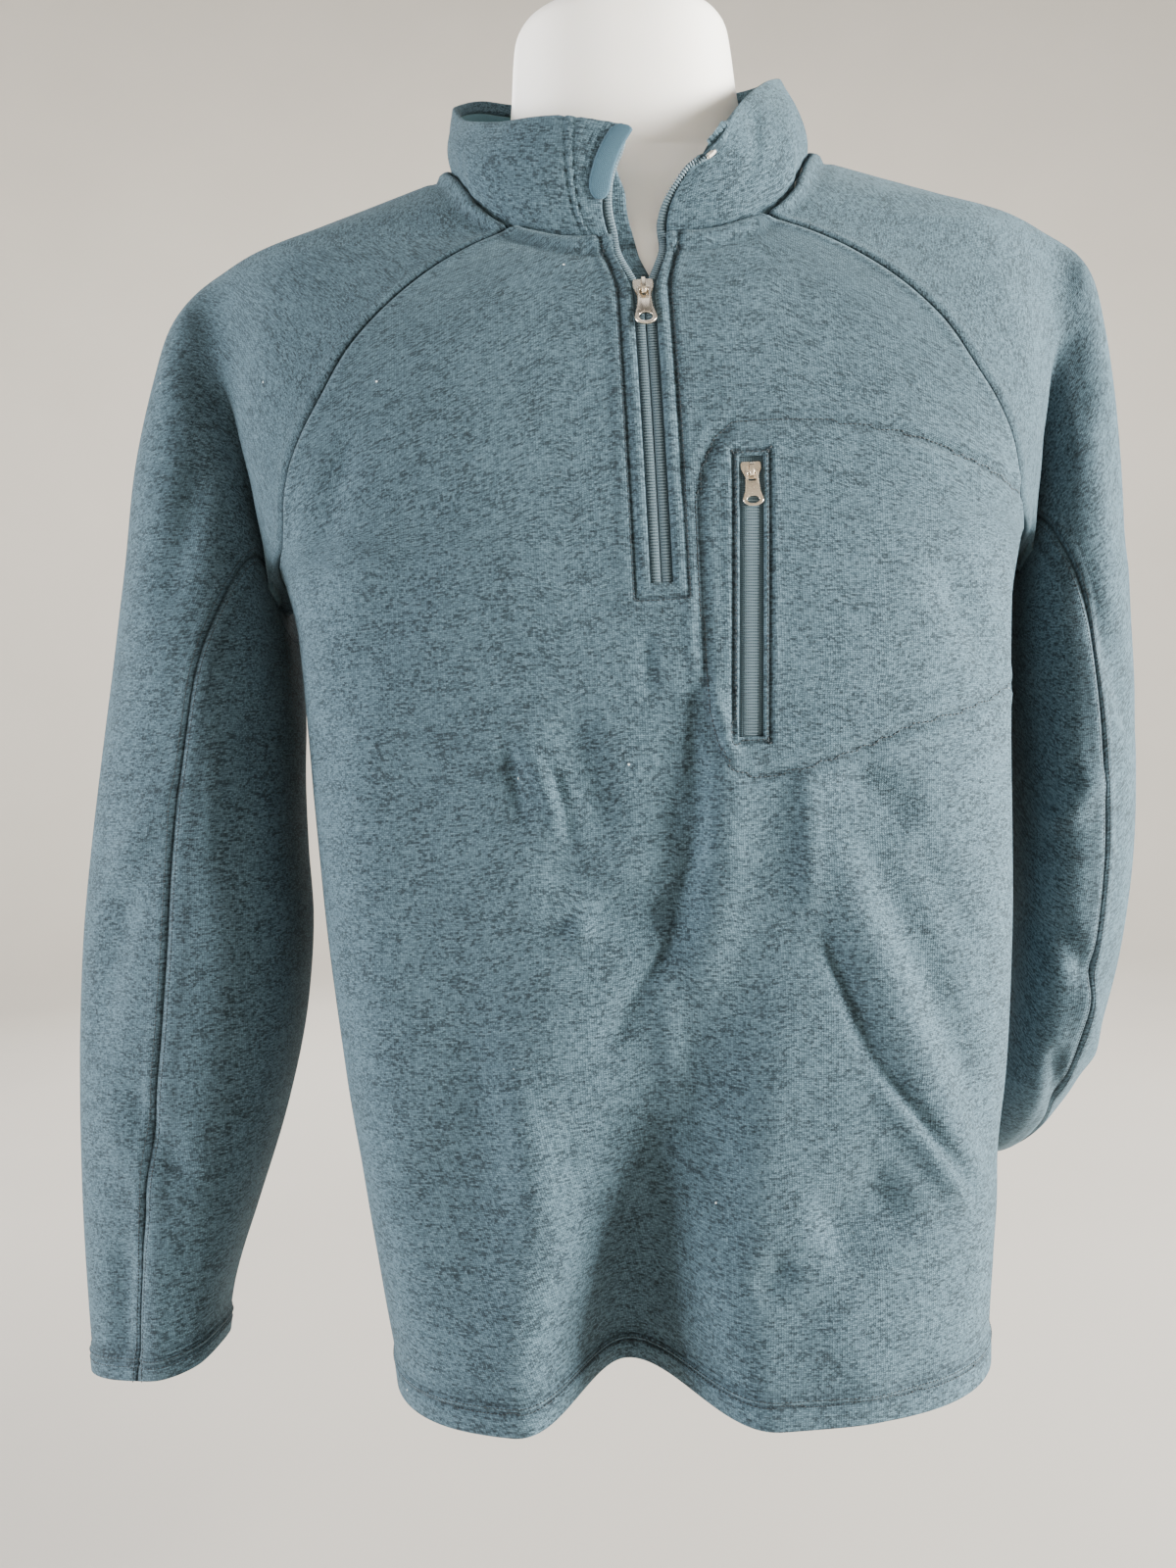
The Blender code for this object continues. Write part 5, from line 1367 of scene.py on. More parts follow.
@dataclass
class BackPanel:
    """The back, cut in one."""

    pitch: float = 4.0
    shell: Shell | None = None

    def build(self) -> Piece:
        """The panel."""
        height = np.array([HEM_DROP - BACK_SEAM_TOP])
        drops = BACK_SEAM_TOP + spread(height, NEAR_NECK, NEAR_HEM, self.pitch)[0]
        edge = SKIN.back_edge(drops)
        lengths, read = SKIN.turns_at(np.full(len(drops), 2.0), edge, drops)
        right = read(spread(lengths, [0.0], NEAR_EDGE, self.pitch))
        turns = np.hstack([-right[:, ::-1], right[:, 1:]])
        turns[:, right.shape[1] - 1] = -2.0
        ease = np.clip(1 - (drops - drops[0]) / 40, 0, 1)[:, None]
        share = (2 - np.abs(turns)) / (2 - edge[:, None])
        neck = SKIN.neck(2 - share * (2 - RIDGE_TURN))
        bent = drops[:, None] + (neck - drops[0]) * ease
        points, normals = SKIN.at(turns, bent), SKIN.normal(turns, bent)
        shift = SKIN.seam_shift(False, drops)
        points[:, -1] += shift
        points[:, 0] += shift * np.array([-1, 1, 1])
        run, fall = reach(points, 1), reach(points, 0)
        sides = np.minimum(run, run[:, -1:] - run)
        bottom = fall[-1:] - fall
        relief = turned_edge(bottom, *HEM_STITCHES) + seam_relief(sides) * fade(bottom, 2, 8)
        # painted shade in the dents of seams and the hem, along sewn edges and below the neck's roll
        hollow = painted_seam_shade(relief, np.minimum(sides, fall), fall)
        relief = relief + neck_band(fall) * fade(sides, 0, 6)
        near = np.minimum(np.minimum(sides, fall), bottom)
        self.shell = shell_of(points, normals, relief, near, hollow=hollow)
        return self.shell.build("back_panel_knit", Finish.KNIT, Finish.BRUSHED)


# ------------------------------------------------------------------ sleeves
class Side(Enum):
    """The wearer's right and left, with the sign of x."""

    RIGHT = -1
    LEFT = 1


@dataclass
class Sleeve:
    """A raglan sleeve in an upper and an under piece, on the rings that its solid has."""

    side: Side
    pitch: float = 4.2
    split: float = 3.6  # row where the under piece starts
    paths: list = field(default_factory=list)
    shells: list[Shell] = field(default_factory=list)
    pieces: list[Piece] = field(default_factory=list)
    hanging: Array | None = None  # rows below the split
    count: int = 0  # columns of the under piece

    @property
    def table(self) -> Array:
        """The sleeve's rings."""
        return SLEEVE_RIGHT if self.side is Side.RIGHT else SLEEVE_LEFT

    @property
    def label(self) -> str:
        """The wearer's side, for names."""
        return self.side.name.lower()

    def seam(self, shares: Array) -> tuple[Array, Array, Array]:
        """Turn, drop and gap of the seam with the front, the collar and the back."""
        if not self.paths:
            drops = np.linspace(UNDERARM_DROP, NECK_CORNER_DROP, 160)
            front = np.column_stack([SKIN.front_edge(drops), drops, SKIN.seam_shift(True, drops)])
            turns = np.linspace(NECK_CORNER_TURN, RIDGE_TURN, 80)
            neck = np.column_stack([turns, SKIN.neck(turns), np.zeros((80, 3))])
            drops = np.linspace(BACK_SEAM_TOP, UNDERARM_DROP, 260)
            back = np.column_stack([SKIN.back_edge(drops), drops, -SKIN.seam_shift(False, drops)])
            front[0, 2:] = back[-1, 2:] = (0, 0, -1.3)
            ridge, back = back[back[:, 1] <= 130], back[back[:, 1] > 130]
            spans = ((0.0, 0.42), (0.42, 0.53), (0.53, 0.64), (0.642, 1.0))
            for path, (start, end) in zip((front, neck, ridge, back), spans):
                run = reach(SKIN.section(path[:, 0], path[:, 1]), 0)
                self.paths.append((path, start + (end - start) * run / run[-1]))
        shares = np.mod(shares, 1.0)
        places = np.concatenate([where for _, where in self.paths])
        path = np.concatenate([points for points, _ in self.paths])
        turn, drop, *gap = (np.interp(shares, places, path[:, k]) for k in range(5))
        return turn, drop, np.stack(gap, axis=-1)

    def ring(self, row: Array, shares: Array, round_out: float) -> Array:
        """Points round one hanging ring, on the positive side of x."""
        outer, inner, x0, y0, half, front, back, shift, pitch = row
        shares = np.mod(shares, 1.0)
        turn = shares * 2 * math.pi
        across = -np.sign(np.cos(turn)) * np.abs(np.cos(turn)) ** (0.75 + 0.25 * round_out)
        along = np.sin(turn)
        depth = np.abs(along) ** (0.58 + 0.34 * round_out) * np.sign(along)
        depth = np.where(along > 0, front, back) * depth
        tilt = math.radians(pitch)
        x = x0 + half * across + shift * np.clip(along, 0, 1) ** 2
        stations = np.vstack([RING_STATIONS, (1.0, 0.0)])
        drop = inner + (outer - inner) * smooth(shares, stations, 1) + depth * math.sin(tilt)
        return np.stack([x, y0 - depth * math.cos(tilt), drop], axis=-1)

    def key(self, index: int, here: Array) -> Array:
        """Points at one whole row: 0 to 2 lie on the shoulder, the rest hang."""
        if index >= 3:
            return self.ring(self.table[index - 3], here, min((index - 3) / 4, 1.0))
        seam_turn, seam_drop, gap = self.seam(here)
        share = index / 2
        turn = seam_turn + (smooth(np.mod(here, 1.0), ARM_EDGE, 1) - seam_turn) * share
        drop = seam_drop + (smooth(np.mod(here, 1.0), ARM_EDGE, 2) - seam_drop) * share
        # towards the underarm the cloth stands off the trunk
        below = np.abs(np.mod(here + 0.5, 1.0) - 0.5)
        off = (1 - fade(below, 0.06, 0.16)) * 8.0 * share
        return SKIN.at(turn, drop) + SKIN.normal(turn, drop) * off[..., None] + gap * (1 - share)

    def points(self, shares: Array, rows: Array) -> Array:
        """Points at each share of the way round, for each row, on the positive side of x."""
        last = len(self.table) + 2
        low = np.clip(np.floor(rows).astype(int), 0, last - 1)
        made = np.zeros((*shares.shape, 3))
        for first in np.unique(low):
            here = low == first
            t = (rows[here] - first)[:, None, None]
            keys = [min(max(int(first) + k, 0), last) for k in (-1, 0, 1, 2)]
            p0, p1, p2, p3 = (self.key(key, shares[here]) for key in keys)
            bend, twist = 2 * p0 - 5 * p1 + 4 * p2 - p3, 3 * p1 - p0 - 3 * p2 + p3
            made[here] = 0.5 * (2 * p1 + (p2 - p0) * t + bend * t**2 + twist * t**3)
        return made

    def rows(self) -> Array:
        """Rows of the fine grid, even along the sleeve and finer at its ends."""
        last = len(self.table) + 2
        fine = np.linspace(0, last, 300)
        run = np.zeros(300)
        for share in (0.3, 0.45, 0.75):
            run = run + reach(self.points(np.full((300, 1), share), fine), 0)[:, 0] / 3
        head = [0, 0.3, 0.7, 1.2, 2.0, 3.2, 5, 7.5, 10, 12.5]
        cuff = [0.0, 0.3, 0.7, 1.2, 2.0, 3.2, 5.5, 8.0, 9.5, 11.0, 12.2, 13.5, 14.8, 16.4]
        rows = np.interp(spread(np.array([run[-1]]), head, cuff, self.pitch)[0], run, fine)
        extra = [self.split + k for k in (-0.05, -0.01, 0, 0.02, 0.024, 0.06)]
        rows = [r for r in rows if min(abs(r - e) for e in extra) > 0.02]
        return np.array(sorted([*rows, *extra]))

    def build(self) -> tuple[Piece, Piece]:
        """The upper and the under piece."""
        rows = self.rows()
        ahead, behind = smooth(rows, UNDER_SLEEVE, 1), smooth(rows, UNDER_SLEEVE, 2)
        ring = self.points(np.tile(np.linspace(0, 1, 60), (len(rows), 1)), rows)
        girth = reach(ring, 1)[:, -1]
        gap = SEAM_GAP / 2 / girth
        near = [0.0, 0.35, 0.8, 1.4, 2.4, 3.6, 5.2]

        def columns(start: Array, end: Array) -> Array:
            """Shares between two seams, finer beside them."""
            stations = spread((end - start) * girth, near, near, self.pitch)
            return start[:, None] + stations / girth[:, None]

        below = columns(behind + gap, ahead - gap)
        above = columns(ahead + gap, 1 + behind - gap)
        count = below.shape[1]
        shares = np.hstack([below, above])
        points = self.points(shares, rows)
        middle = points.mean(axis=1, keepdims=True)
        normals = ring_normals(points, points - middle)
        seam_turn, seam_drop, _ = self.seam(shares[0])
        flat = SKIN.normal(seam_turn, seam_drop)
        away = fade(np.abs(np.mod(shares + 0.5, 1.0) - 0.5), 0.05, 0.13)
        top = away * (1 - fade(rows, 0.0, 0.25)[:, None])
        normals = unit(flat[None] * top[..., None] + normals * (1 - top[..., None]))
        mirror = np.array([self.side.value, 1, 1])
        points, normals = points * mirror, normals * mirror
        facing = fade(-normals[..., 1], 0.05, 0.5) * fade(rows, 2.0, 3.5)[:, None]
        swell = CREASE_DEPTH * creases(points, SLEEVE_CREASES[self.label], facing)
        swell = swell + unevenness(points) * fade(rows, 2.5, 4.0)[:, None]
        fall = reach(points, 0)
        bottom = fall[-1:] - fall
        points = points + normals * swell[..., None]
        around = np.mod(shares, 1.0)
        neck = fade(around, 0.40, 0.43) * (1 - fade(around, 0.52, 0.55))
        band = neck_band(fall) * neck
        base = turned_edge(bottom, *CUFF_STITCHES) + seam_relief(fall) * (1 - neck)
        is_upper = np.zeros((len(rows) - 1, shares.shape[1]), bool)
        is_upper[:, count:-1] = True
        is_upper[rows[:-1] < self.split - 0.001] = True
        is_under = np.zeros(is_upper.shape, bool)
        is_under[rows[:-1] > self.split + 0.01, : count - 1] = True
        apart = (rows > self.split - 0.001)[:, None]
        down = np.median(fall, axis=1)
        from_split = np.abs(down - np.interp(self.split, rows, down))[:, None]
        inner = np.zeros(shares.shape, bool)
        inner[:, :count] = True
        above_split = inner & (rows < self.split + 0.001)[:, None]
        everywhere = np.ones(shares.shape, bool)
        for name, cells, start, end, split_edge in (
            ("sleeve", is_upper, ahead, 1 + behind, above_split),
            ("under_sleeve", is_under, behind, ahead, everywhere),
        ):
            side = np.minimum(shares - start[:, None], end[:, None] - shares) * girth[:, None]
            side = np.where(side < -1, -side, side)
            side = np.where(apart, np.maximum(side - SEAM_GAP / 2, 0), FAR)
            edge = np.minimum(side, np.minimum(fall, bottom))
            edge = np.where(split_edge, np.minimum(edge, from_split), edge)
            relief = base + seam_relief(side) * fade(bottom, 2, 8)
            # painted shade in the dents of seams and the cuff, along sewn edges and below the neck's
            # roll
            hollow = painted_seam_shade(relief, np.minimum(side, fall), np.where(neck > 0.5, fall, FAR))
            shell = shell_of(
                points, normals, relief + band, edge, keep=cells, closed=True, hollow=hollow
            )
            self.shells.append(shell)
            self.pieces.append(
                shell.build(f"{name}_{self.label}_knit", Finish.KNIT, Finish.BRUSHED)
            )
        self.hanging, self.count = rows > self.split + 0.03, count
        return self.pieces[0], self.pieces[1]

    def stitch_runs(self) -> Runs:
        """Stitches beside the two long seams and round the cuff."""
        runs, count, parts = [], self.count, list(zip(self.pieces, self.shells))
        for (piece, shell), column in zip(parts * 2, (count + 4, count - 5, -5, 4)):
            line = shell.outer[self.hanging, column]
            normals = unit(shell.outer - shell.inner)[self.hanging, column]
            runs += seated(piece, [(line, normals)], 1.2)
        for line in CUFF_STITCHES:
            for (piece, shell), columns in zip(parts, (slice(count, None), slice(0, count))):
                runs += seated(piece, hem_runs(shell, (line,), columns), 1.2)
        return runs


# ------------------------------------------------------------------ collar
@dataclass
class Collar:
    """The stand collar, open and flared, with its facing, its top edge turned over."""

    turned: float = 6.0  # how far the outer cloth turns down inside
    tucked: float = 2.2  # how far its lower edge sinks behind the panels' edges
    leans: tuple[float, float] = (8.0, 9.0)  # how far its two front edges lean, half way up
    thick: float = 3.9  # through both layers at the top edge
    height: float = 58.0  # of its face on the cloth's map
    shares: Array = field(default_factory=lambda: np.linspace(0, 1, 601))
    foot: Array = field(init=False)

    def __post_init__(self) -> None:
        """Work out the seam's points once."""
        turn = smooth(self.shares, COLLAR, 1)
        turn = np.where(turn < -2, turn + 4, turn)
        level = SKIN.neck(turn) - 0.2
        self.foot = SKIN.at(turn, level) - SKIN.normal(turn, level) * self.tucked

    def at(self, shares: Array, rises: Array) -> Array:
        """Points of the collar's outer face."""
        shares, rises = np.broadcast_arrays(np.asarray(shares, float), np.asarray(rises, float))
        seam = np.stack([np.interp(shares, self.shares, self.foot[:, k]) for k in range(3)], axis=-1)
        top = np.stack([smooth(shares, COLLAR, k) for k in (2, 3, 4)], axis=-1)
        away = unit((seam + top) / 2 * np.array([1, 1, 0]))
        arch = 4 * rises * (1 - rises)
        bulge = smooth(shares, COLLAR, 5) * arch
        made = seam + (top - seam) * rises[..., None] + away * bulge[..., None]
        # both front edges lean to the wearer's right half way up
        lean = self.leans[0] * (1 - fade(shares, 0.01, 0.11)) + self.leans[1] * fade(shares, 0.86, 0.99)
        made[..., 0] -= arch * lean
        return made

    def normal(self, shares: Array, rises: Array) -> Array:
        """Outward normals of the collar."""
        shares, rises = np.broadcast_arrays(np.asarray(shares, float), np.asarray(rises, float))
        after, before = np.minimum(shares + 0.006, 1), np.maximum(shares - 0.006, 0)
        above, below = np.minimum(rises + 0.04, 1), np.maximum(rises - 0.04, 0)
        round_it = self.at(after, rises) - self.at(before, rises)
        normal = unit(np.cross(round_it, self.at(shares, above) - self.at(shares, below)))
        level = self.at(shares, rises) * np.array([1, 1, 0])
        return normal * np.sign((normal * level).sum(-1))[..., None]

    def relief(self, shares: Array, rises: Array) -> Array:
        """Folds, the stitched band at the wearer's right front, and the roll along the top."""
        shares, rises = np.broadcast_arrays(shares, rises)
        made = 0.5 * np.sin(shares * 41 + rises * 3) * np.sin(rises * 5 + shares * 17)
        for first, second in ((0.024, 0.074), (0.038, 0.090)):
            line = (shares - (first + (second - first) * rises)) * 390
            made = made + groove(line, 0.0, 0.9, 0.8) - groove(np.abs(line), 3.0, 1.6, 0.35)
        # wrinkles between the band and the guard
        patch = (1 - fade(shares, 0.03, 0.055)) * fade(rises, 0.35, 0.6)
        made = made + patch * 0.9 * np.sin(shares * 420 + rises * 19) * np.sin(rises * 31 - shares * 90)
        # a diagonal pull at the wearer's left front
        pull = (shares - 0.88) * 390 + (rises - 0.3) * 40
        shown = fade(rises, 0.1, 0.4) * (1 - fade(rises, 0.75, 0.95))
        made = made - 1.6 * np.exp(-((pull / 9) ** 2)) * shown
        return made - groove(rises, 1.0, 0.06, 0.5)

    def build(self) -> tuple[Piece, Piece]:
        """The outer collar and its facing."""
        first = [0, 0.001, 0.0025, 0.005]
        last = [0.995, 0.9975, 0.999, 1]
        around = np.concatenate([first, np.linspace(0.009, 0.991, 170), last])
        rises = np.concatenate([[0, 0.006, 0.016, 0.035], np.linspace(0.06, 1.0, 26)])
        height = np.linalg.norm(self.at(around, 1.0) - self.at(around, 0.0), axis=-1)
        run = reach(self.at(around, 0.5)[None], 1)[0]
        radius = 0.95
        rolled = roll(np.minimum(run, run[-1] - run), radius)

        def row(rise: Array, lift: Array | float, up: float = 0.0) -> Array:
            """One row of points round the collar."""
            rise = np.broadcast_to(rise, around.shape)
            base, normal = self.at(around, rise), self.normal(around, rise)
            under = np.minimum(rise, 0.96)
            upward = unit(self.at(around, under + 0.04) - self.at(around, under))
            return base + normal * np.broadcast_to(lift, around.shape)[:, None] + upward * up

        rows, marks = [], []
        for rise in rises:
            low = roll(np.full(1, rise * 55.0), radius)[0]
            relief = self.relief(around, rise) * fade(rise, 0.0, 0.06) - np.maximum(rolled, low)
            rows.append(row(rise, relief))
            marks.append(rise * self.height)
        top = self.relief(around, np.ones_like(around)) - rolled
        thick, rim = self.thick, 1.9
        for angle in (30, 60, 90, 120, 150):
            a = math.radians(angle)
            middle, half = (top - thick + rolled) / 2, (top + thick - rolled) / 2
            rows.append(row(1.0, middle + half * math.cos(a), rim * math.sin(a)))
            marks.append(self.height + rim * a)
        inside = self.height + 6.0  # where the turned part starts on the map
        for down in (0.0, 1.5, 3.0, 4.6, self.turned):
            rows.append(row(1 - down / height, -thick + rolled))
            marks.append(inside + down)
        rows.append(row(1 - (self.turned + 0.5) / height, -3.2 + rolled * 0.6))
        end = 1 - (self.turned + 0.7) / height
        rows.append(row(end, -2.1 + rolled))
        marks += [inside + 7.0, inside + 8.0]
        for share in np.linspace(1, 0, 12)[1:]:
            low = radius if share == 0 else 0.0
            rows.append(row(end * share, -2.1 + np.maximum(rolled, low)))
            marks.append(inside + 8.0 + 50.0 * (1 - share))
        outer = self.sweep(np.array(rows), np.array(marks), run, len(rises) + 5)
        return outer, self.facing()

    def sweep(self, grid: Array, marks: Array, run: Array, face_rows: int) -> Piece:
        """The closed profile swept round the neck, with its two ends capped."""
        maker = bmesh.new()
        chart = maker.loops.layers.uv.new("Knit")
        verts = [[maker.verts.new(p) for p in place(line)] for line in grid]
        count = len(grid)
        for i in range(count):
            nxt = (i + 1) % count
            here, there = marks[i] * MM, marks[nxt or i] * MM
            for j in range(grid.shape[1] - 1):
                corners = (verts[i][j], verts[i][j + 1], verts[nxt][j + 1], verts[nxt][j])
                face = maker.faces.new(corners)
                left, right = run[j] * MM, run[j + 1] * MM
                places = ((left, here), (right, here), (right, there), (left, there))
                for loop, spot in zip(face.loops, places):
                    loop[chart].uv = spot
                face.material_index = 0 if i < face_rows + 5 else 1
        for j in (0, grid.shape[1] - 1):
            cap = maker.faces.new([verts[i][j] for i in range(count)])
            bmesh.ops.triangulate(maker, faces=[cap])
        made = finish_solid(maker, "collar_knit", Finish.KNIT, 60)
        made.data.materials.append(Finish.BRUSHED.material())
        # painted shade along the collar's foot, where it meets the seam with the panels; the rows past
        # the face get none
        depth = np.exp(-((marks / 1.8) ** 2))
        depth[face_rows:] = 0
        hollow = made.data.attributes.new("Hollow", "FLOAT", "POINT")
        hollow.data.foreach_set("value", np.repeat(depth, grid.shape[1]))
        return made

    def facing(self) -> Piece:
        """The plain jersey lining of the collar."""
        around = np.linspace(0.03, 0.97, 150)
        rises = np.concatenate([[0.0, 0.01], np.linspace(0.03, 0.985, 22), [1.0]])
        height = np.linalg.norm(self.at(around, 1.0) - self.at(around, 0.0), axis=-1)
        high = 1 - (self.turned + 1.3) / height
        grid_round = np.broadcast_to(around, (len(rises), len(around)))
        grid_up = rises[:, None] * high[None, :]
        points, normals = self.at(grid_round, grid_up), self.normal(grid_round, grid_up)
        behind = -(CLOTH + LAYER_GAP)
        shell = shell_of(points, normals, 0.0, edge_distance(points), FACING, behind)
        return shell.build("collar_lining", Finish.LINING, Finish.LINING)


# ------------------------------------------------------------------ zip, flap and guard
@dataclass
class FrontZip:
    """The front zip's tapes and coils, the flap behind, the guard at the collar's front."""

    collar: Collar
    bulge: float = 1.3  # how far the coil behind pushes the tapes forward in the opening
    coil_half: float = 2.75

    def strip(
        self,
        side: int,
        beyond: float,
        inside: float,
        drops: Array,
        rises: Array,
        count: int,
        narrow: tuple[float, float, float] = (0.9, 0.84, 0.95),
    ) -> tuple[Array, Array]:
        """Points and normals of a strip along one side of the opening, up front and collar.

        Args:
            side: -1 for the viewer's left, 1 for the right.
            beyond: How far the strip reaches past the cloth's edge into the opening.
            inside: How far it reaches behind the cloth.
            drops: Drops of its rows on the front, from the bottom up.
            rises: Rises of its rows on the collar.
            count: Columns across.
            narrow: Share of its reach that it loses on the collar, and the rises between which.

        Returns:
            The grid of points and of normals.
        """
        share = np.linspace(0, 1, count)[None, :]
        drops, rises = np.asarray(drops, float)[:, None], np.asarray(rises, float)[:, None]
        x = slot_half(drops) - beyond + (inside + beyond) * share
        turn = side * np.sign(x) * SKIN.turn_of_x(np.abs(x), drops)
        bend = float(SKIN.neck(0.03)) - NECK_CORNER_DROP
        level = drops + bend * np.clip(1 - (drops - NECK_CORNER_DROP) / NECK_BEND, 0, None)
        level = np.broadcast_to(level, x.shape)
        lower = SKIN.normal(turn, level)
        front = SKIN.at(turn, level) - lower * 0.9 * fade(-level, -165, -152)[..., None]
        ends = np.array([[0.0, 0.01]] if side < 0 else [[1.0, 0.99]])
        edge, near = np.moveaxis(self.collar.at(ends, rises), 1, 0)
        upper = self.collar.normal(ends, rises)[:, :1]
        along = unit(edge - near)[:, None]
        edge = edge[:, None] - upper * (0.9 * (1 - fade(rises, 0.02, 0.2)))[..., None]
        beyond = beyond * (1 - narrow[0] * fade(rises, narrow[1], narrow[2]))
        above = edge + along * (beyond - (beyond + min(inside, 4.2)) * share)[..., None]
        points = np.concatenate([front, above])
        normals = np.concatenate([lower, np.repeat(upper, count, axis=1)])
        # ease the turn from the front to the collar
        for _ in range(3):
            points[1:-1] = (points[:-2] + 2 * points[1:-1] + points[2:]) / 4
            normals[1:-1] = unit((normals[:-2] + 2 * normals[1:-1] + normals[2:]) / 4)
        return points, normals

    def rows(self, bottom: float) -> tuple[Array, Array]:
        """Drops and rises of a strip's rows, from the bottom up."""
        return np.arange(bottom, 143.0, -3.0), np.linspace(0.05, 0.88, 22)

    def build(self) -> list[Piece]:
        """Tapes, flap and guard, in that order."""
        made = []
        for label, side in (("right", -1), ("left", 1)):
            points, normals = self.strip(side, 5.4, 8.0, *self.rows(345.0), 9)
            bulge = self.bulge * (1 - fade(reach(points, 1), 3.6, 5.4))
            behind = -(CLOTH + LAYER_GAP)
            shell = shell_of(points, normals, bulge, edge_distance(points), TAPE, behind)
            made.append(shell.build(f"zip_tape_{label}", Finish.TAPE, Finish.TAPE))
        points, normals = self.strip(-1, 13.0, 9.5, *self.rows(351.0), 12, (0.85, 0.4, 0.8))
        behind = -(CLOTH + 2 * LAYER_GAP + TAPE)
        shell = shell_of(points, normals, 0.0, edge_distance(points), FACING, behind)
        made.append(shell.build("wind_flap_knit", Finish.KNIT, Finish.LINING))
        made.append(self.guard())
        return made

    def guard(self) -> Piece:
        """The plain strip that wraps the collar's front edge, rounded at its lower end."""
        rises = np.concatenate([[0.345, 0.348, 0.355], np.linspace(0.365, 0.995, 34), [1.003, 1.008]])
        share = np.linspace(-1, 1, 15)
        points, normals = [], []
        ends = np.array([0.0, 0.01])
        up = unit(self.collar.at(ends, 1.0)[0] - self.collar.at(ends, 0.3)[0])
        for rise in rises:
            edge, near = self.collar.at(ends, min(rise, 1.0))
            found = self.collar.normal(ends, min(rise, 1.0))
            along = unit(edge - near)
            t = (rise - rises[0]) / (rises[-1] - rises[0])
            half = 5.6 * math.sqrt(max(1 - (1 - min(t / 0.22, 1.0)) ** 2, 0.001))
            half *= math.sqrt(max(1 - (max(t - 0.94, 0) / 0.0605) ** 2, 0.02))
            extra = max(rise - 1.0, 0) * 60
            points.append([edge - along * (1.2 - half * s) + up * extra for s in share])
            normals.append(np.repeat(found[:1], len(share), axis=0))
        points, normals = np.array(points), np.array(normals)
        puff = 0.5 * (1 - share[None, :] ** 2)
        thickness = 1.2
        edge = edge_distance(points)
        shell = shell_of(points, normals, puff, edge, thickness, LAYER_GAP + thickness)
        return shell.build("chin_guard_jersey", Finish.GUARD, Finish.GUARD)

    def coil_runs(self) -> Runs:
        """Lines of the coil: closed below the slider, and along each free edge above it."""
        runs = []
        down = np.arange(338.0, 190.0, -1.0)
        sunk = CLOTH + LAYER_GAP - self.bulge
        for side in (-1, 1):
            turn = side * SKIN.turn_of_x(np.full(down.shape, self.coil_half), down)
            normals = SKIN.normal(turn, down)
            runs.append((SKIN.at(turn, down) - normals * sunk, normals))
            points, normals = self.strip(side, 3.2, 0.0, *self.rows(172.0), 2)
            runs.append((points[:, 0] - normals[:, 0] * sunk, normals[:, 0]))
        return runs

    def stop(self) -> Piece:
        """The bright stop at the top of the wearer's left tape."""
        drops, rises = np.array([160.0, 150.0]), np.linspace(0.5, 0.93, 9)
        points, normals = self.strip(1, 4.2, 0.0, drops, rises, 2, (0.0, 0.4, 0.8))
        centre, out = points[-1, 0], normals[-1, 0]
        along = unit(points[-1, 0] - points[-3, 0])
        across = np.cross(out, along)
        length, width, height, sunk = 5.6, 3.8, 1.9, CLOTH + LAYER_GAP - 0.6
        maker = bmesh.new()
        bmesh.ops.create_cube(maker, size=1.0)
        bmesh.ops.bevel(maker, geom=list(maker.edges), offset=0.18, segments=3, affect="EDGES")
        for vertex in maker.verts:
            u, v, w = vertex.co
            spot = centre + along * (u * length) + across * (v * width)
            vertex.co = place(spot - out * (sunk - w * height))
        return finish_solid(maker, "top_stop", Finish.STOP, 30)


@dataclass
class PocketZip:
    """The chest pocket's tape and coil, and the bag behind the cloth."""

    half: float = 9.5  # of the tape's width
    bulge: float = 1.2  # how far the coil behind pushes the tape forward in the window

    def build(self) -> list[Piece]:
        """Tape and bag."""
        drops = np.arange(270.0, 417.0, 3.0)
        across = np.linspace(-self.half, self.half, 15)
        turns = SKIN.turn_of_x(pocket_x(drops)[:, None] + across[None, :], drops[:, None])
        levels = np.broadcast_to(drops[:, None], turns.shape)
        points, normals = SKIN.at(turns, levels), SKIN.normal(turns, levels)
        bulge = self.bulge * (1 - fade(np.abs(across), 4.2, 6.2)) * fade(drops, 287, 293)[:, None]
        behind = CLOTH + LAYER_GAP
        tape = shell_of(points, normals, bulge, edge_distance(points), TAPE, -behind)
        made = [tape.build("pocket_tape", Finish.TAPE, Finish.TAPE)]
        x = np.linspace(POCKET_BAG[0, 0], POCKET_BAG[-1, 0], 40)
        top, low = smooth(x, POCKET_BAG, 1), smooth(x, POCKET_BAG, 2)
        levels = top + (low - top) * np.linspace(0, 1, 36)[:, None]
        turns = SKIN.turn_of_x(np.broadcast_to(x, levels.shape), levels)
        points, normals = SKIN.at(turns, levels), SKIN.normal(turns, levels)
        behind = CLOTH + 2 * LAYER_GAP + TAPE + 0.6
        bag = shell_of(points, normals, 0.0, edge_distance(points), 1.0, -behind)
        made.append(bag.build("pocket_bag_jersey", Finish.LINING, Finish.LINING))
        return made

    def coil_runs(self) -> Runs:
        """The line of ribs over the pocket's closed coil."""
        down = np.arange(POCKET_END[1] - 1, POCKET_TOP[1] + 14, -1.0)
        turn = SKIN.turn_of_x(pocket_x(down), down)
        normals = SKIN.normal(turn, down)
        return [(SKIN.at(turn, down) - normals * (CLOTH + LAYER_GAP - self.bulge), normals)]


# ------------------------------------------------------------------ metal parts
def stand_for(piece: Piece, node: str, slot: str, body: str = ROOT) -> None:
    """Hang a piece on the body it rides on, and hide the solid it stands for."""
    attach(piece, body)
    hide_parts(node)


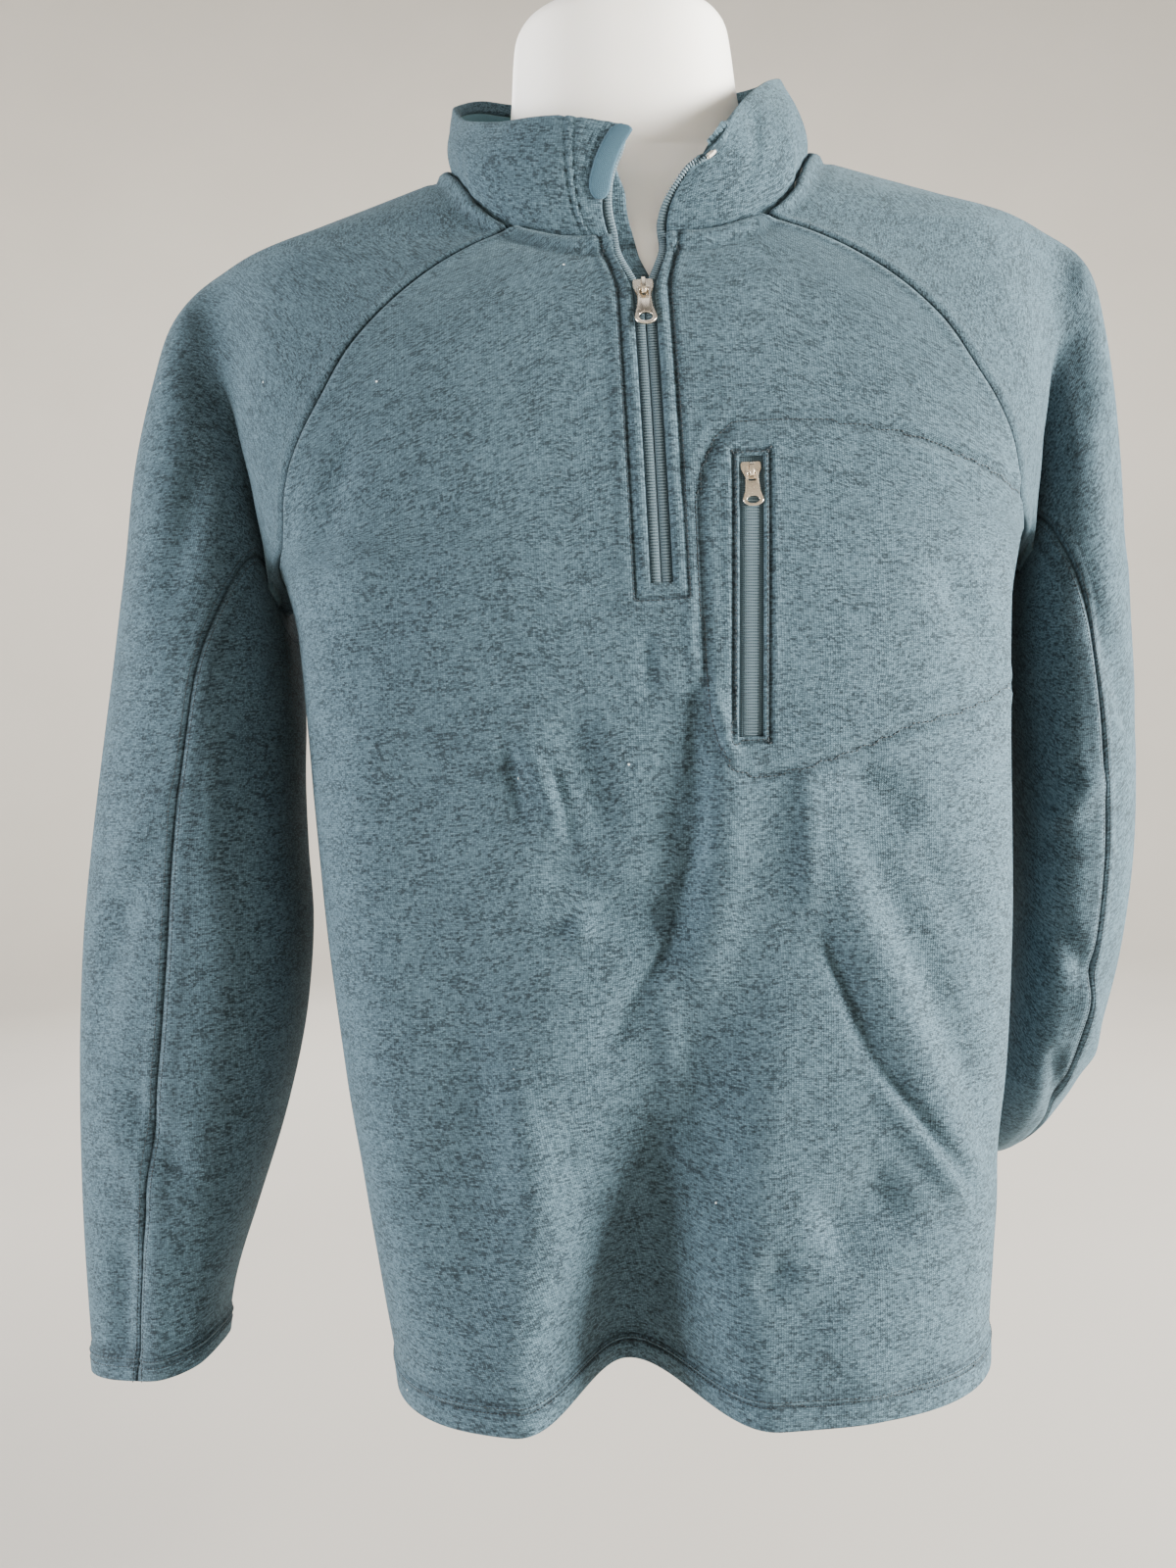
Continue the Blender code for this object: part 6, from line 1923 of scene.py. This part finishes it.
def arc(centre: tuple[float, float], radius: float, start: float, end: float, count: int) -> Line:
    """Points of an arc, in degrees."""
    angles = np.radians(np.linspace(start, end, count))
    return [(centre[0] + radius * math.cos(a), centre[1] + radius * math.sin(a)) for a in angles]


def prism(outline: Line, low: float, high: float) -> bmesh.types.BMesh:
    """A closed prism from an outline in u and v, between two heights w."""
    maker = bmesh.new()
    lower = [maker.verts.new((u, v, low)) for u, v in outline]
    upper = [maker.verts.new((u, v, high)) for u, v in outline]
    maker.faces.new(lower[::-1])
    maker.faces.new(upper)
    for i, start in enumerate(lower):
        j = (i + 1) % len(lower)
        maker.faces.new((start, lower[j], upper[j], upper[i]))
    bmesh.ops.recalc_face_normals(maker, faces=maker.faces)
    return maker


@dataclass
class ZipSlider:
    """A slider with its arched bridge, and the pull that swings on it.

    Attributes:
        label: Start of its nodes' names.
        size: Scale of its outlines, which are in mm for the front zip.
        length: Length of the pull from its pivot, before scaling.
        half: Half the width of the pull's round end.
        eye: Radius of the hole in that end.
        x: Where it stands on the front.
        drop: Likewise.
        broad: How much wider the slider and the pull are than their outlines.
    """

    label: str
    size: float
    length: float
    half: float
    eye: float
    x: float
    drop: float
    broad: tuple[float, float]

    def seat(self) -> tuple[Array, Array]:
        """Where the slider stands in metres, and its axes u, v and w as columns."""
        plain = WornSurface(folds=False)
        turn = float(plain.turn_of_x(abs(self.x), self.drop))
        bend = 9.5 * max(0.0, 1 - (self.drop - NECK_CORNER_DROP) / NECK_BEND)
        level = self.drop + (bend if abs(self.x) < 1 else 0.0)
        outward = plain.normal(turn, level)
        seat = plain.at(turn, level) - outward * (CLOTH + LAYER_GAP - 0.3)
        w = unit(outward * np.array([1, 1, -1]))
        u = np.array([1.0, 0.0, 0.0])
        w = unit(w - u * w.dot(u))
        return place(seat), np.stack([u, np.cross(w, u), w], axis=1)

    def stand(self, made: Piece, offset: tuple[float, float, float], broad: float) -> None:
        """Move a piece's mesh from its own u, v and w onto the cloth, broadened along u."""
        seat, axes = self.seat()
        for vertex in made.data.vertices:
            local = (np.array(vertex.co) * (broad, 1, 1) + np.array(offset)) * MM
            vertex.co = seat + axes @ local

    def slider(self) -> Piece:
        """The slider's top plate, with raised shoulders, and its bridge."""
        s = self.size
        half = [(3.0, -6.2), (3.3, -4.6), (4.2, -1.6), (5.0, 0.9), (5.2, 3.4), (4.9, 5.4), (4.3, 6.2)]
        outline = [(-u * s, v * s) for u, v in half[::-1]] + [(u * s, v * s) for u, v in half]
        plate = prism(outline, 0.0, 1.5 * s)
        plate = finish_solid(plate, f"{self.label}_slider_cast", Finish.METAL, 40)
        made = rounded(plate, 0.42 * s, 40)
        # the bridge is a flat bar bent into an arch
        rise = [(4.5, 1.2), (4.5, 3.4), (4.2, 4.4), (3.4, 5.1), (2.0, 5.35)]
        path = np.array(rise + [(-v, w) for v, w in rise[::-1]])
        ahead = np.vstack([path[1:], path[-1:]])
        behind = np.vstack([path[:1], path[:-1]])
        maker = bmesh.new()
        rings = []
        for (v, w), run in zip(path, unit(ahead - behind)):
            ring = []
            for a, b in ((-1.0, -0.55), (1.0, -0.55), (1.0, 0.55), (-1.0, 0.55)):
                corner = (a * s, (v - run[1] * b) * s, (w + run[0] * b) * s)
                ring.append(maker.verts.new(corner))
            rings.append(ring)
        join_rings(maker, rings)
        maker.faces.new(rings[0])
        maker.faces.new(rings[-1][::-1])
        bridge = rounded(finish_solid(maker, "bridge", Finish.METAL, 40), 0.22 * s, 40)
        joined = bmesh.new()
        joined.from_mesh(made.data)
        joined.from_mesh(bridge.data)
        joined.to_mesh(made.data)
        joined.free()
        bpy.data.objects.remove(bridge, do_unlink=True)
        made.data.shade_smooth()
        self.stand(made, (0.0, 0.0, 0.0), self.broad[0])
        return made

    def pull(self) -> Piece:
        """The pull: a plate with the loop at the bridge and a round eye at its end."""
        s, half = self.size, self.half
        foot = half - self.length
        waist = [(half * 0.98, foot + 1.0), (half * 0.88, foot + 3.0), (half * 0.74, foot + 6.0)]
        waist += [(2.9, -8.6), (2.75, -5.0), (2.9, -1.0), (2.7, 0.7), (2.2, 1.1)]
        outline = [*arc((0, foot), half, 180, 360, 21), *waist]
        outline += [(-u, v) for u, v in waist[::-1]]
        maker = prism([(u * s, v * s) for u, v in outline], -0.75 * s, 0.75 * s)
        made = finish_solid(maker, f"{self.label}_pull_cast", Finish.METAL, 40)
        window = [(1.7, -6.4), (1.7, -1.2), (1.2, -0.8), (-1.2, -0.8)]
        window += [(-1.7, -1.2), (-1.7, -6.4), (-1.2, -6.8), (1.2, -6.8)]
        loop = prism([(u * s, v * s) for u, v in window], -3, 3)
        eye = prism(arc((0, foot * s), self.eye * s, 0, 345, 24), -3, 3)
        for cutter in (loop, eye):
            tool = finish_solid(cutter, "cutter", Finish.METAL, 40)
            step = made.modifiers.new("cut", "BOOLEAN")
            step.operation, step.solver, step.object = "DIFFERENCE", "EXACT", tool
            baked(made)
            bpy.data.objects.remove(tool, do_unlink=True)
        rounded(made, 0.34 * s, 50)
        made.data.shade_smooth()
        self.stand(made, tuple(value * s for value in PULL_PIVOT), self.broad[1])
        return made

    def build(self) -> None:
        """Slider and pull, each on its body."""
        slider, pull = self.slider(), self.pull()
        stand_for(slider, f"{self.label}_slider", "slider_metal")
        stand_for(pull, f"{self.label}_pull", "slider_metal", f"{self.label}_zip_pull")


# ------------------------------------------------------------------ form and hook
@dataclass
class TorsoForm:
    """The white limbless form inside, with its nut and hook."""

    around: int = 120

    def rows(self) -> list[Array]:
        """Rings of points down the form."""
        turns = np.linspace(-2, 2, self.around + 1)[:-1]
        neck = [0, 0.25, 0.7, 1.4, 2.4, 3.6, 5, 7, 9, 11, 14, 17, *range(20, 84, 3), 84]
        trunk = [*np.arange(87, 160, 3.0), *np.arange(162, FORM_BOTTOM - 12, 12.0)]
        drops = [*neck, *trunk, *(FORM_BOTTOM - k for k in (9, 5, 2, 0))]
        inset = {FORM_BOTTOM - 5: 0.995, FORM_BOTTOM - 2: 0.975, FORM_BOTTOM: 0.94}
        rows = []
        for drop in drops:
            if drop <= NECK_FORM[-1, 0]:
                rows.append(SKIN.section(turns, float(drop), NECK_FORM))
                continue
            high = max(drop - FORM_LOWER, TRUNK[0, 0])
            base = SKIN.section(turns, high)
            half, front, back = (smooth(drop, FORM_TAKEN_IN, k) for k in (1, 2, 3))
            full = [smooth(high, TRUNK, k) for k in (1, 2, 3)]
            x = base[:, 0] * (1 - half / full[0])
            y = base[:, 1] * np.where(base[:, 1] < 0, 1 - front / full[1], 1 - back / full[2])
            share = inset.get(drop, 1.0)
            rows.append(np.stack([x * share, y * share, np.full(x.shape, float(drop))], axis=-1))
        return rows

    def hook(self) -> Piece:
        """The hook: round wire, bent, with a rounded tip and a plain round foot."""
        path = [(0.0, v) for v in (9.9, 14.0, 20.0, 27.0)]
        path += arc((0.0, HOOK_CENTRE_RISE), HOOK_RADIUS, -90, HOOK_END, 64)
        points, radius, sides = np.array(path), HOOK_WIRE / 2, 20
        maker = bmesh.new()
        rings = []
        for point, run in zip(points, unit(np.gradient(points, axis=0))):
            side = np.array([run[1], -run[0]])
            ring = []
            for i in range(sides):
                a = 2 * math.pi * i / sides
                u, v = point + side * radius * math.cos(a)
                ring.append(maker.verts.new(place(np.array([u, radius * math.sin(a), -v]))))
            rings.append(ring)
        join_rings(maker, rings)
        for ring in (rings[0], rings[-1]):
            cap = maker.faces.new(ring)
            bmesh.ops.inset_region(maker, faces=[cap], thickness=0.0005, depth=0.0)
        return rounded(finish_solid(maker, "hook_chromed", Finish.STEEL, 60), 0.0006, 60)

    def nut(self) -> Piece:
        """The hexagon nut under the hook."""
        maker = prism(arc((0.0, 0.0), 8.0, 0, 300, 6), 0.3, 9.5)
        made = rounded(finish_solid(maker, "hook_nut_chromed", Finish.STEEL, 30), 0.5, 30)
        for vertex in made.data.vertices:
            vertex.co = Vector(place(np.array([vertex.co.x, vertex.co.y, -vertex.co.z])))
        return made

    def build(self) -> None:
        """The form, its nut and its hook."""
        torso = revolve_rows(self.rows(), "form_shell_white", Finish.SHELL)
        stand_for(torso, "form_torso", "form_shell")
        stand_for(self.nut(), "hook_nut", "hook_steel")
        stand_for(self.hook(), "hook_wire", "hook_steel")


# ------------------------------------------------------------------ the garment
@dataclass(frozen=True)
class Cut:
    """How a cloth piece was cut: width and length in metres, and its area if not a rectangle."""

    node: str
    slot: str
    flat: tuple[float, float]
    area: float | None = None


@dataclass
class Pullover:
    """All the sewn pieces, each riding on the root body."""

    def declare(self, piece: Piece, cut: Cut, on: str) -> None:
        """Hang a cloth piece on the root body, hide the solid it stands for, and log its faces."""
        stand_for(piece, cut.node, cut.slot)
        LOG.info("%s: %d faces", piece.name, len(piece.data.polygons))

    def build(self) -> None:
        """Panels, sleeves, collar, zips and all the stitching."""
        front, back = FrontPanel(), BackPanel()
        ahead, behind = front.build(), back.build()
        form = "form_shell_white"
        self.declare(ahead, Cut("front_panel", "fleece_front", (0.53, 0.64), 0.27), form)
        self.declare(behind, Cut("back_panel", "fleece_back", (0.55, 0.69), 0.31), form)
        cover = seated(ahead, hem_runs(front.shell, HEM_STITCHES))
        cover += seated(behind, hem_runs(back.shell, HEM_STITCHES))
        for side in Side:
            sleeve = Sleeve(side)
            upper, under = sleeve.build()
            cut = Cut(f"sleeve_{sleeve.label}", "fleece_sleeve", (0.45, 0.80), 0.20)
            self.declare(upper, cut, form)
            cut = Cut(f"under_sleeve_{sleeve.label}", "fleece_under_sleeve", (0.16, 0.50), 0.05)
            self.declare(under, cut, upper.name)
            cover += sleeve.stitch_runs()
        collar = Collar()
        outer, lining = collar.build()
        zipper, pocket = FrontZip(collar), PocketZip()
        right, left, flap, guard = zipper.build()
        tape, bag = pocket.build()
        panel, stand = ahead.name, outer.name
        for piece, cut, on in (
            (outer, Cut("collar_outer", "fleece_collar", (0.50, 0.075)), panel),
            (lining, Cut("collar_facing", "plain_knit", (0.48, 0.06)), stand),
            (right, Cut("front_zip_tape_right", "zip_tape", (0.0135, 0.26)), stand),
            (left, Cut("front_zip_tape_left", "zip_tape", (0.0135, 0.26)), stand),
            (flap, Cut("wind_flap", "plain_knit", (0.02, 0.26)), stand),
            (guard, Cut("chin_guard", "guard_knit", (0.0112, 0.04)), stand),
            (tape, Cut("pocket_zip_tape", "zip_tape", (0.019, 0.147)), panel),
            (bag, Cut("pocket_bag", "plain_knit", (0.15, 0.17), 0.0225), panel),
        ):
            self.declare(piece, cut, on)
        for piece, slot in (
            (COVER.build("hem_and_seam_stitches", cover), "fleece_front"),
            (STITCH.build("front_topstitches", seated(ahead, front.stitch_runs())), "fleece_front"),
            (COIL_RIB.build("front_zip_coil", zipper.coil_runs()), "zip_tape"),
            (POCKET_RIB.build("pocket_zip_coil", pocket.coil_runs()), "zip_tape"),
            (zipper.stop(), "slider_metal"),
        ):
            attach(piece, ROOT)
            LOG.info("%s: %d faces", piece.name, len(piece.data.polygons))


# ------------------------------------------------------------------ studio
@dataclass
class Studio:
    """A pale sweep all round, soft lights, and the camera at the photograph's place."""

    floor_drop: float = 1.02
    radius: float = 4.2
    sides: int = 64

    def sweep(self) -> None:
        """A floor that curves up into a wall on every side, open above."""
        profile = [(0.0, 0.0), (1.2, 0.0), (2.2, 0.0)]
        bend = np.linspace(0.15, math.pi / 2, 10)
        profile += [(2.6 + 1.6 * math.sin(a), 1.6 - 1.6 * math.cos(a)) for a in bend]
        profile += [(self.radius, 3.2), (self.radius, 5.0)]
        maker = bmesh.new()
        middle = maker.verts.new((0, 0, -self.floor_drop))
        loops = []
        around = np.linspace(0, 2 * math.pi, self.sides + 1)[:-1]
        for r, z in profile[1:]:
            height = z - self.floor_drop
            spots = [(r * math.cos(a), r * math.sin(a), height) for a in around]
            loops.append([maker.verts.new(spot) for spot in spots])
        for i, start in enumerate(loops[0]):
            maker.faces.new((middle, start, loops[0][(i + 1) % self.sides]))
        for low, high in zip(loops, loops[1:]):
            for i in range(self.sides):
                j = (i + 1) % self.sides
                maker.faces.new((low[i], high[i], high[j], low[j]))
        mesh = bpy.data.meshes.new("pale_floor")
        maker.to_mesh(mesh)
        maker.free()
        mesh.shade_smooth()
        mesh.materials.append(Finish.FLOOR.material())
        link("pale_floor", mesh)

    def lamp(self, name: str, spot: tuple, aim: tuple, size: float, power: float, colour: str) -> None:
        """A square soft light.

        Args:
            name: Name of the lamp.
            spot: Where it stands, in metres.
            aim: What it points at.
            size: Length of its side.
            power: In watts.
            colour: Its colour.
        """
        data = bpy.data.lights.new(name, "AREA")
        data.shape = "SQUARE"
        data.size = size
        data.energy = power
        data.color = linear(colour)[:3]
        made = bpy.data.objects.new(name, data)
        made.location = spot
        made.rotation_euler = (Vector(aim) - Vector(spot)).to_track_quat("-Z", "Y").to_euler()
        made.visible_camera = False
        bpy.context.scene.collection.objects.link(made)

    def build(self) -> None:
        """Sweep, lights, sky and camera."""
        self.sweep()
        chest = (0.0, 0.0, -0.42)
        self.lamp("window", (2.6, -0.7, -0.3), chest, 1.0, 430.0, "#FFFDF8")
        self.lamp("left_window", (-2.5, -0.55, -0.5), chest, 1.0, 150.0, "#FBFCFF")
        self.lamp("top", (0.0, -0.2, 1.5), chest, 1.4, 9.0, "#FFFFFF")
        self.lamp("behind", (-0.6, 2.2, 0.6), chest, 1.6, 40.0, "#FFFFFF")
        self.lamp("backdrop", (0.0, 1.6, 1.4), (0.0, 4.0, -0.8), 1.4, 55.0, "#FFFCF6")
        world = bpy.context.scene.world or bpy.data.worlds.new("soft_sky")
        bpy.context.scene.world = world
        world.use_nodes = True
        sky = world.node_tree.nodes["Background"]
        sky.inputs[0].default_value = linear("#DDE0E4")
        sky.inputs[1].default_value = 0.17
        data = bpy.data.cameras.new("camera")
        data.lens = 29.1
        data.sensor_width = 36.0
        data.dof.use_dof = False
        camera = bpy.data.objects.new("camera", data)
        camera.location = (-0.041, -0.735, -0.509)
        camera.rotation_euler = (math.radians(90), math.radians(3.0), 0.0)
        bpy.context.scene.collection.objects.link(camera)
        bpy.context.scene.camera = camera


def main() -> None:
    """Build the object and the studio."""
    logging.basicConfig(level=logging.INFO, format="%(name)s: %(message)s")
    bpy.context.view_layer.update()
    TorsoForm().build()
    Pullover().build()
    ZipSlider("front", 1.0, 22.5, 4.4, 2.7, 0.0, SLIDER_CENTRE, (1.06, 1.28)).build()
    pocket = (float(pocket_x(POCKET_SLIDER_DROP)), POCKET_SLIDER_DROP)
    ZipSlider("pocket", 0.72, 24.2, 4.4, 2.6, *pocket, (1.38, 1.6)).build()
    Studio().build()


if __name__ == "__main__":
    main()
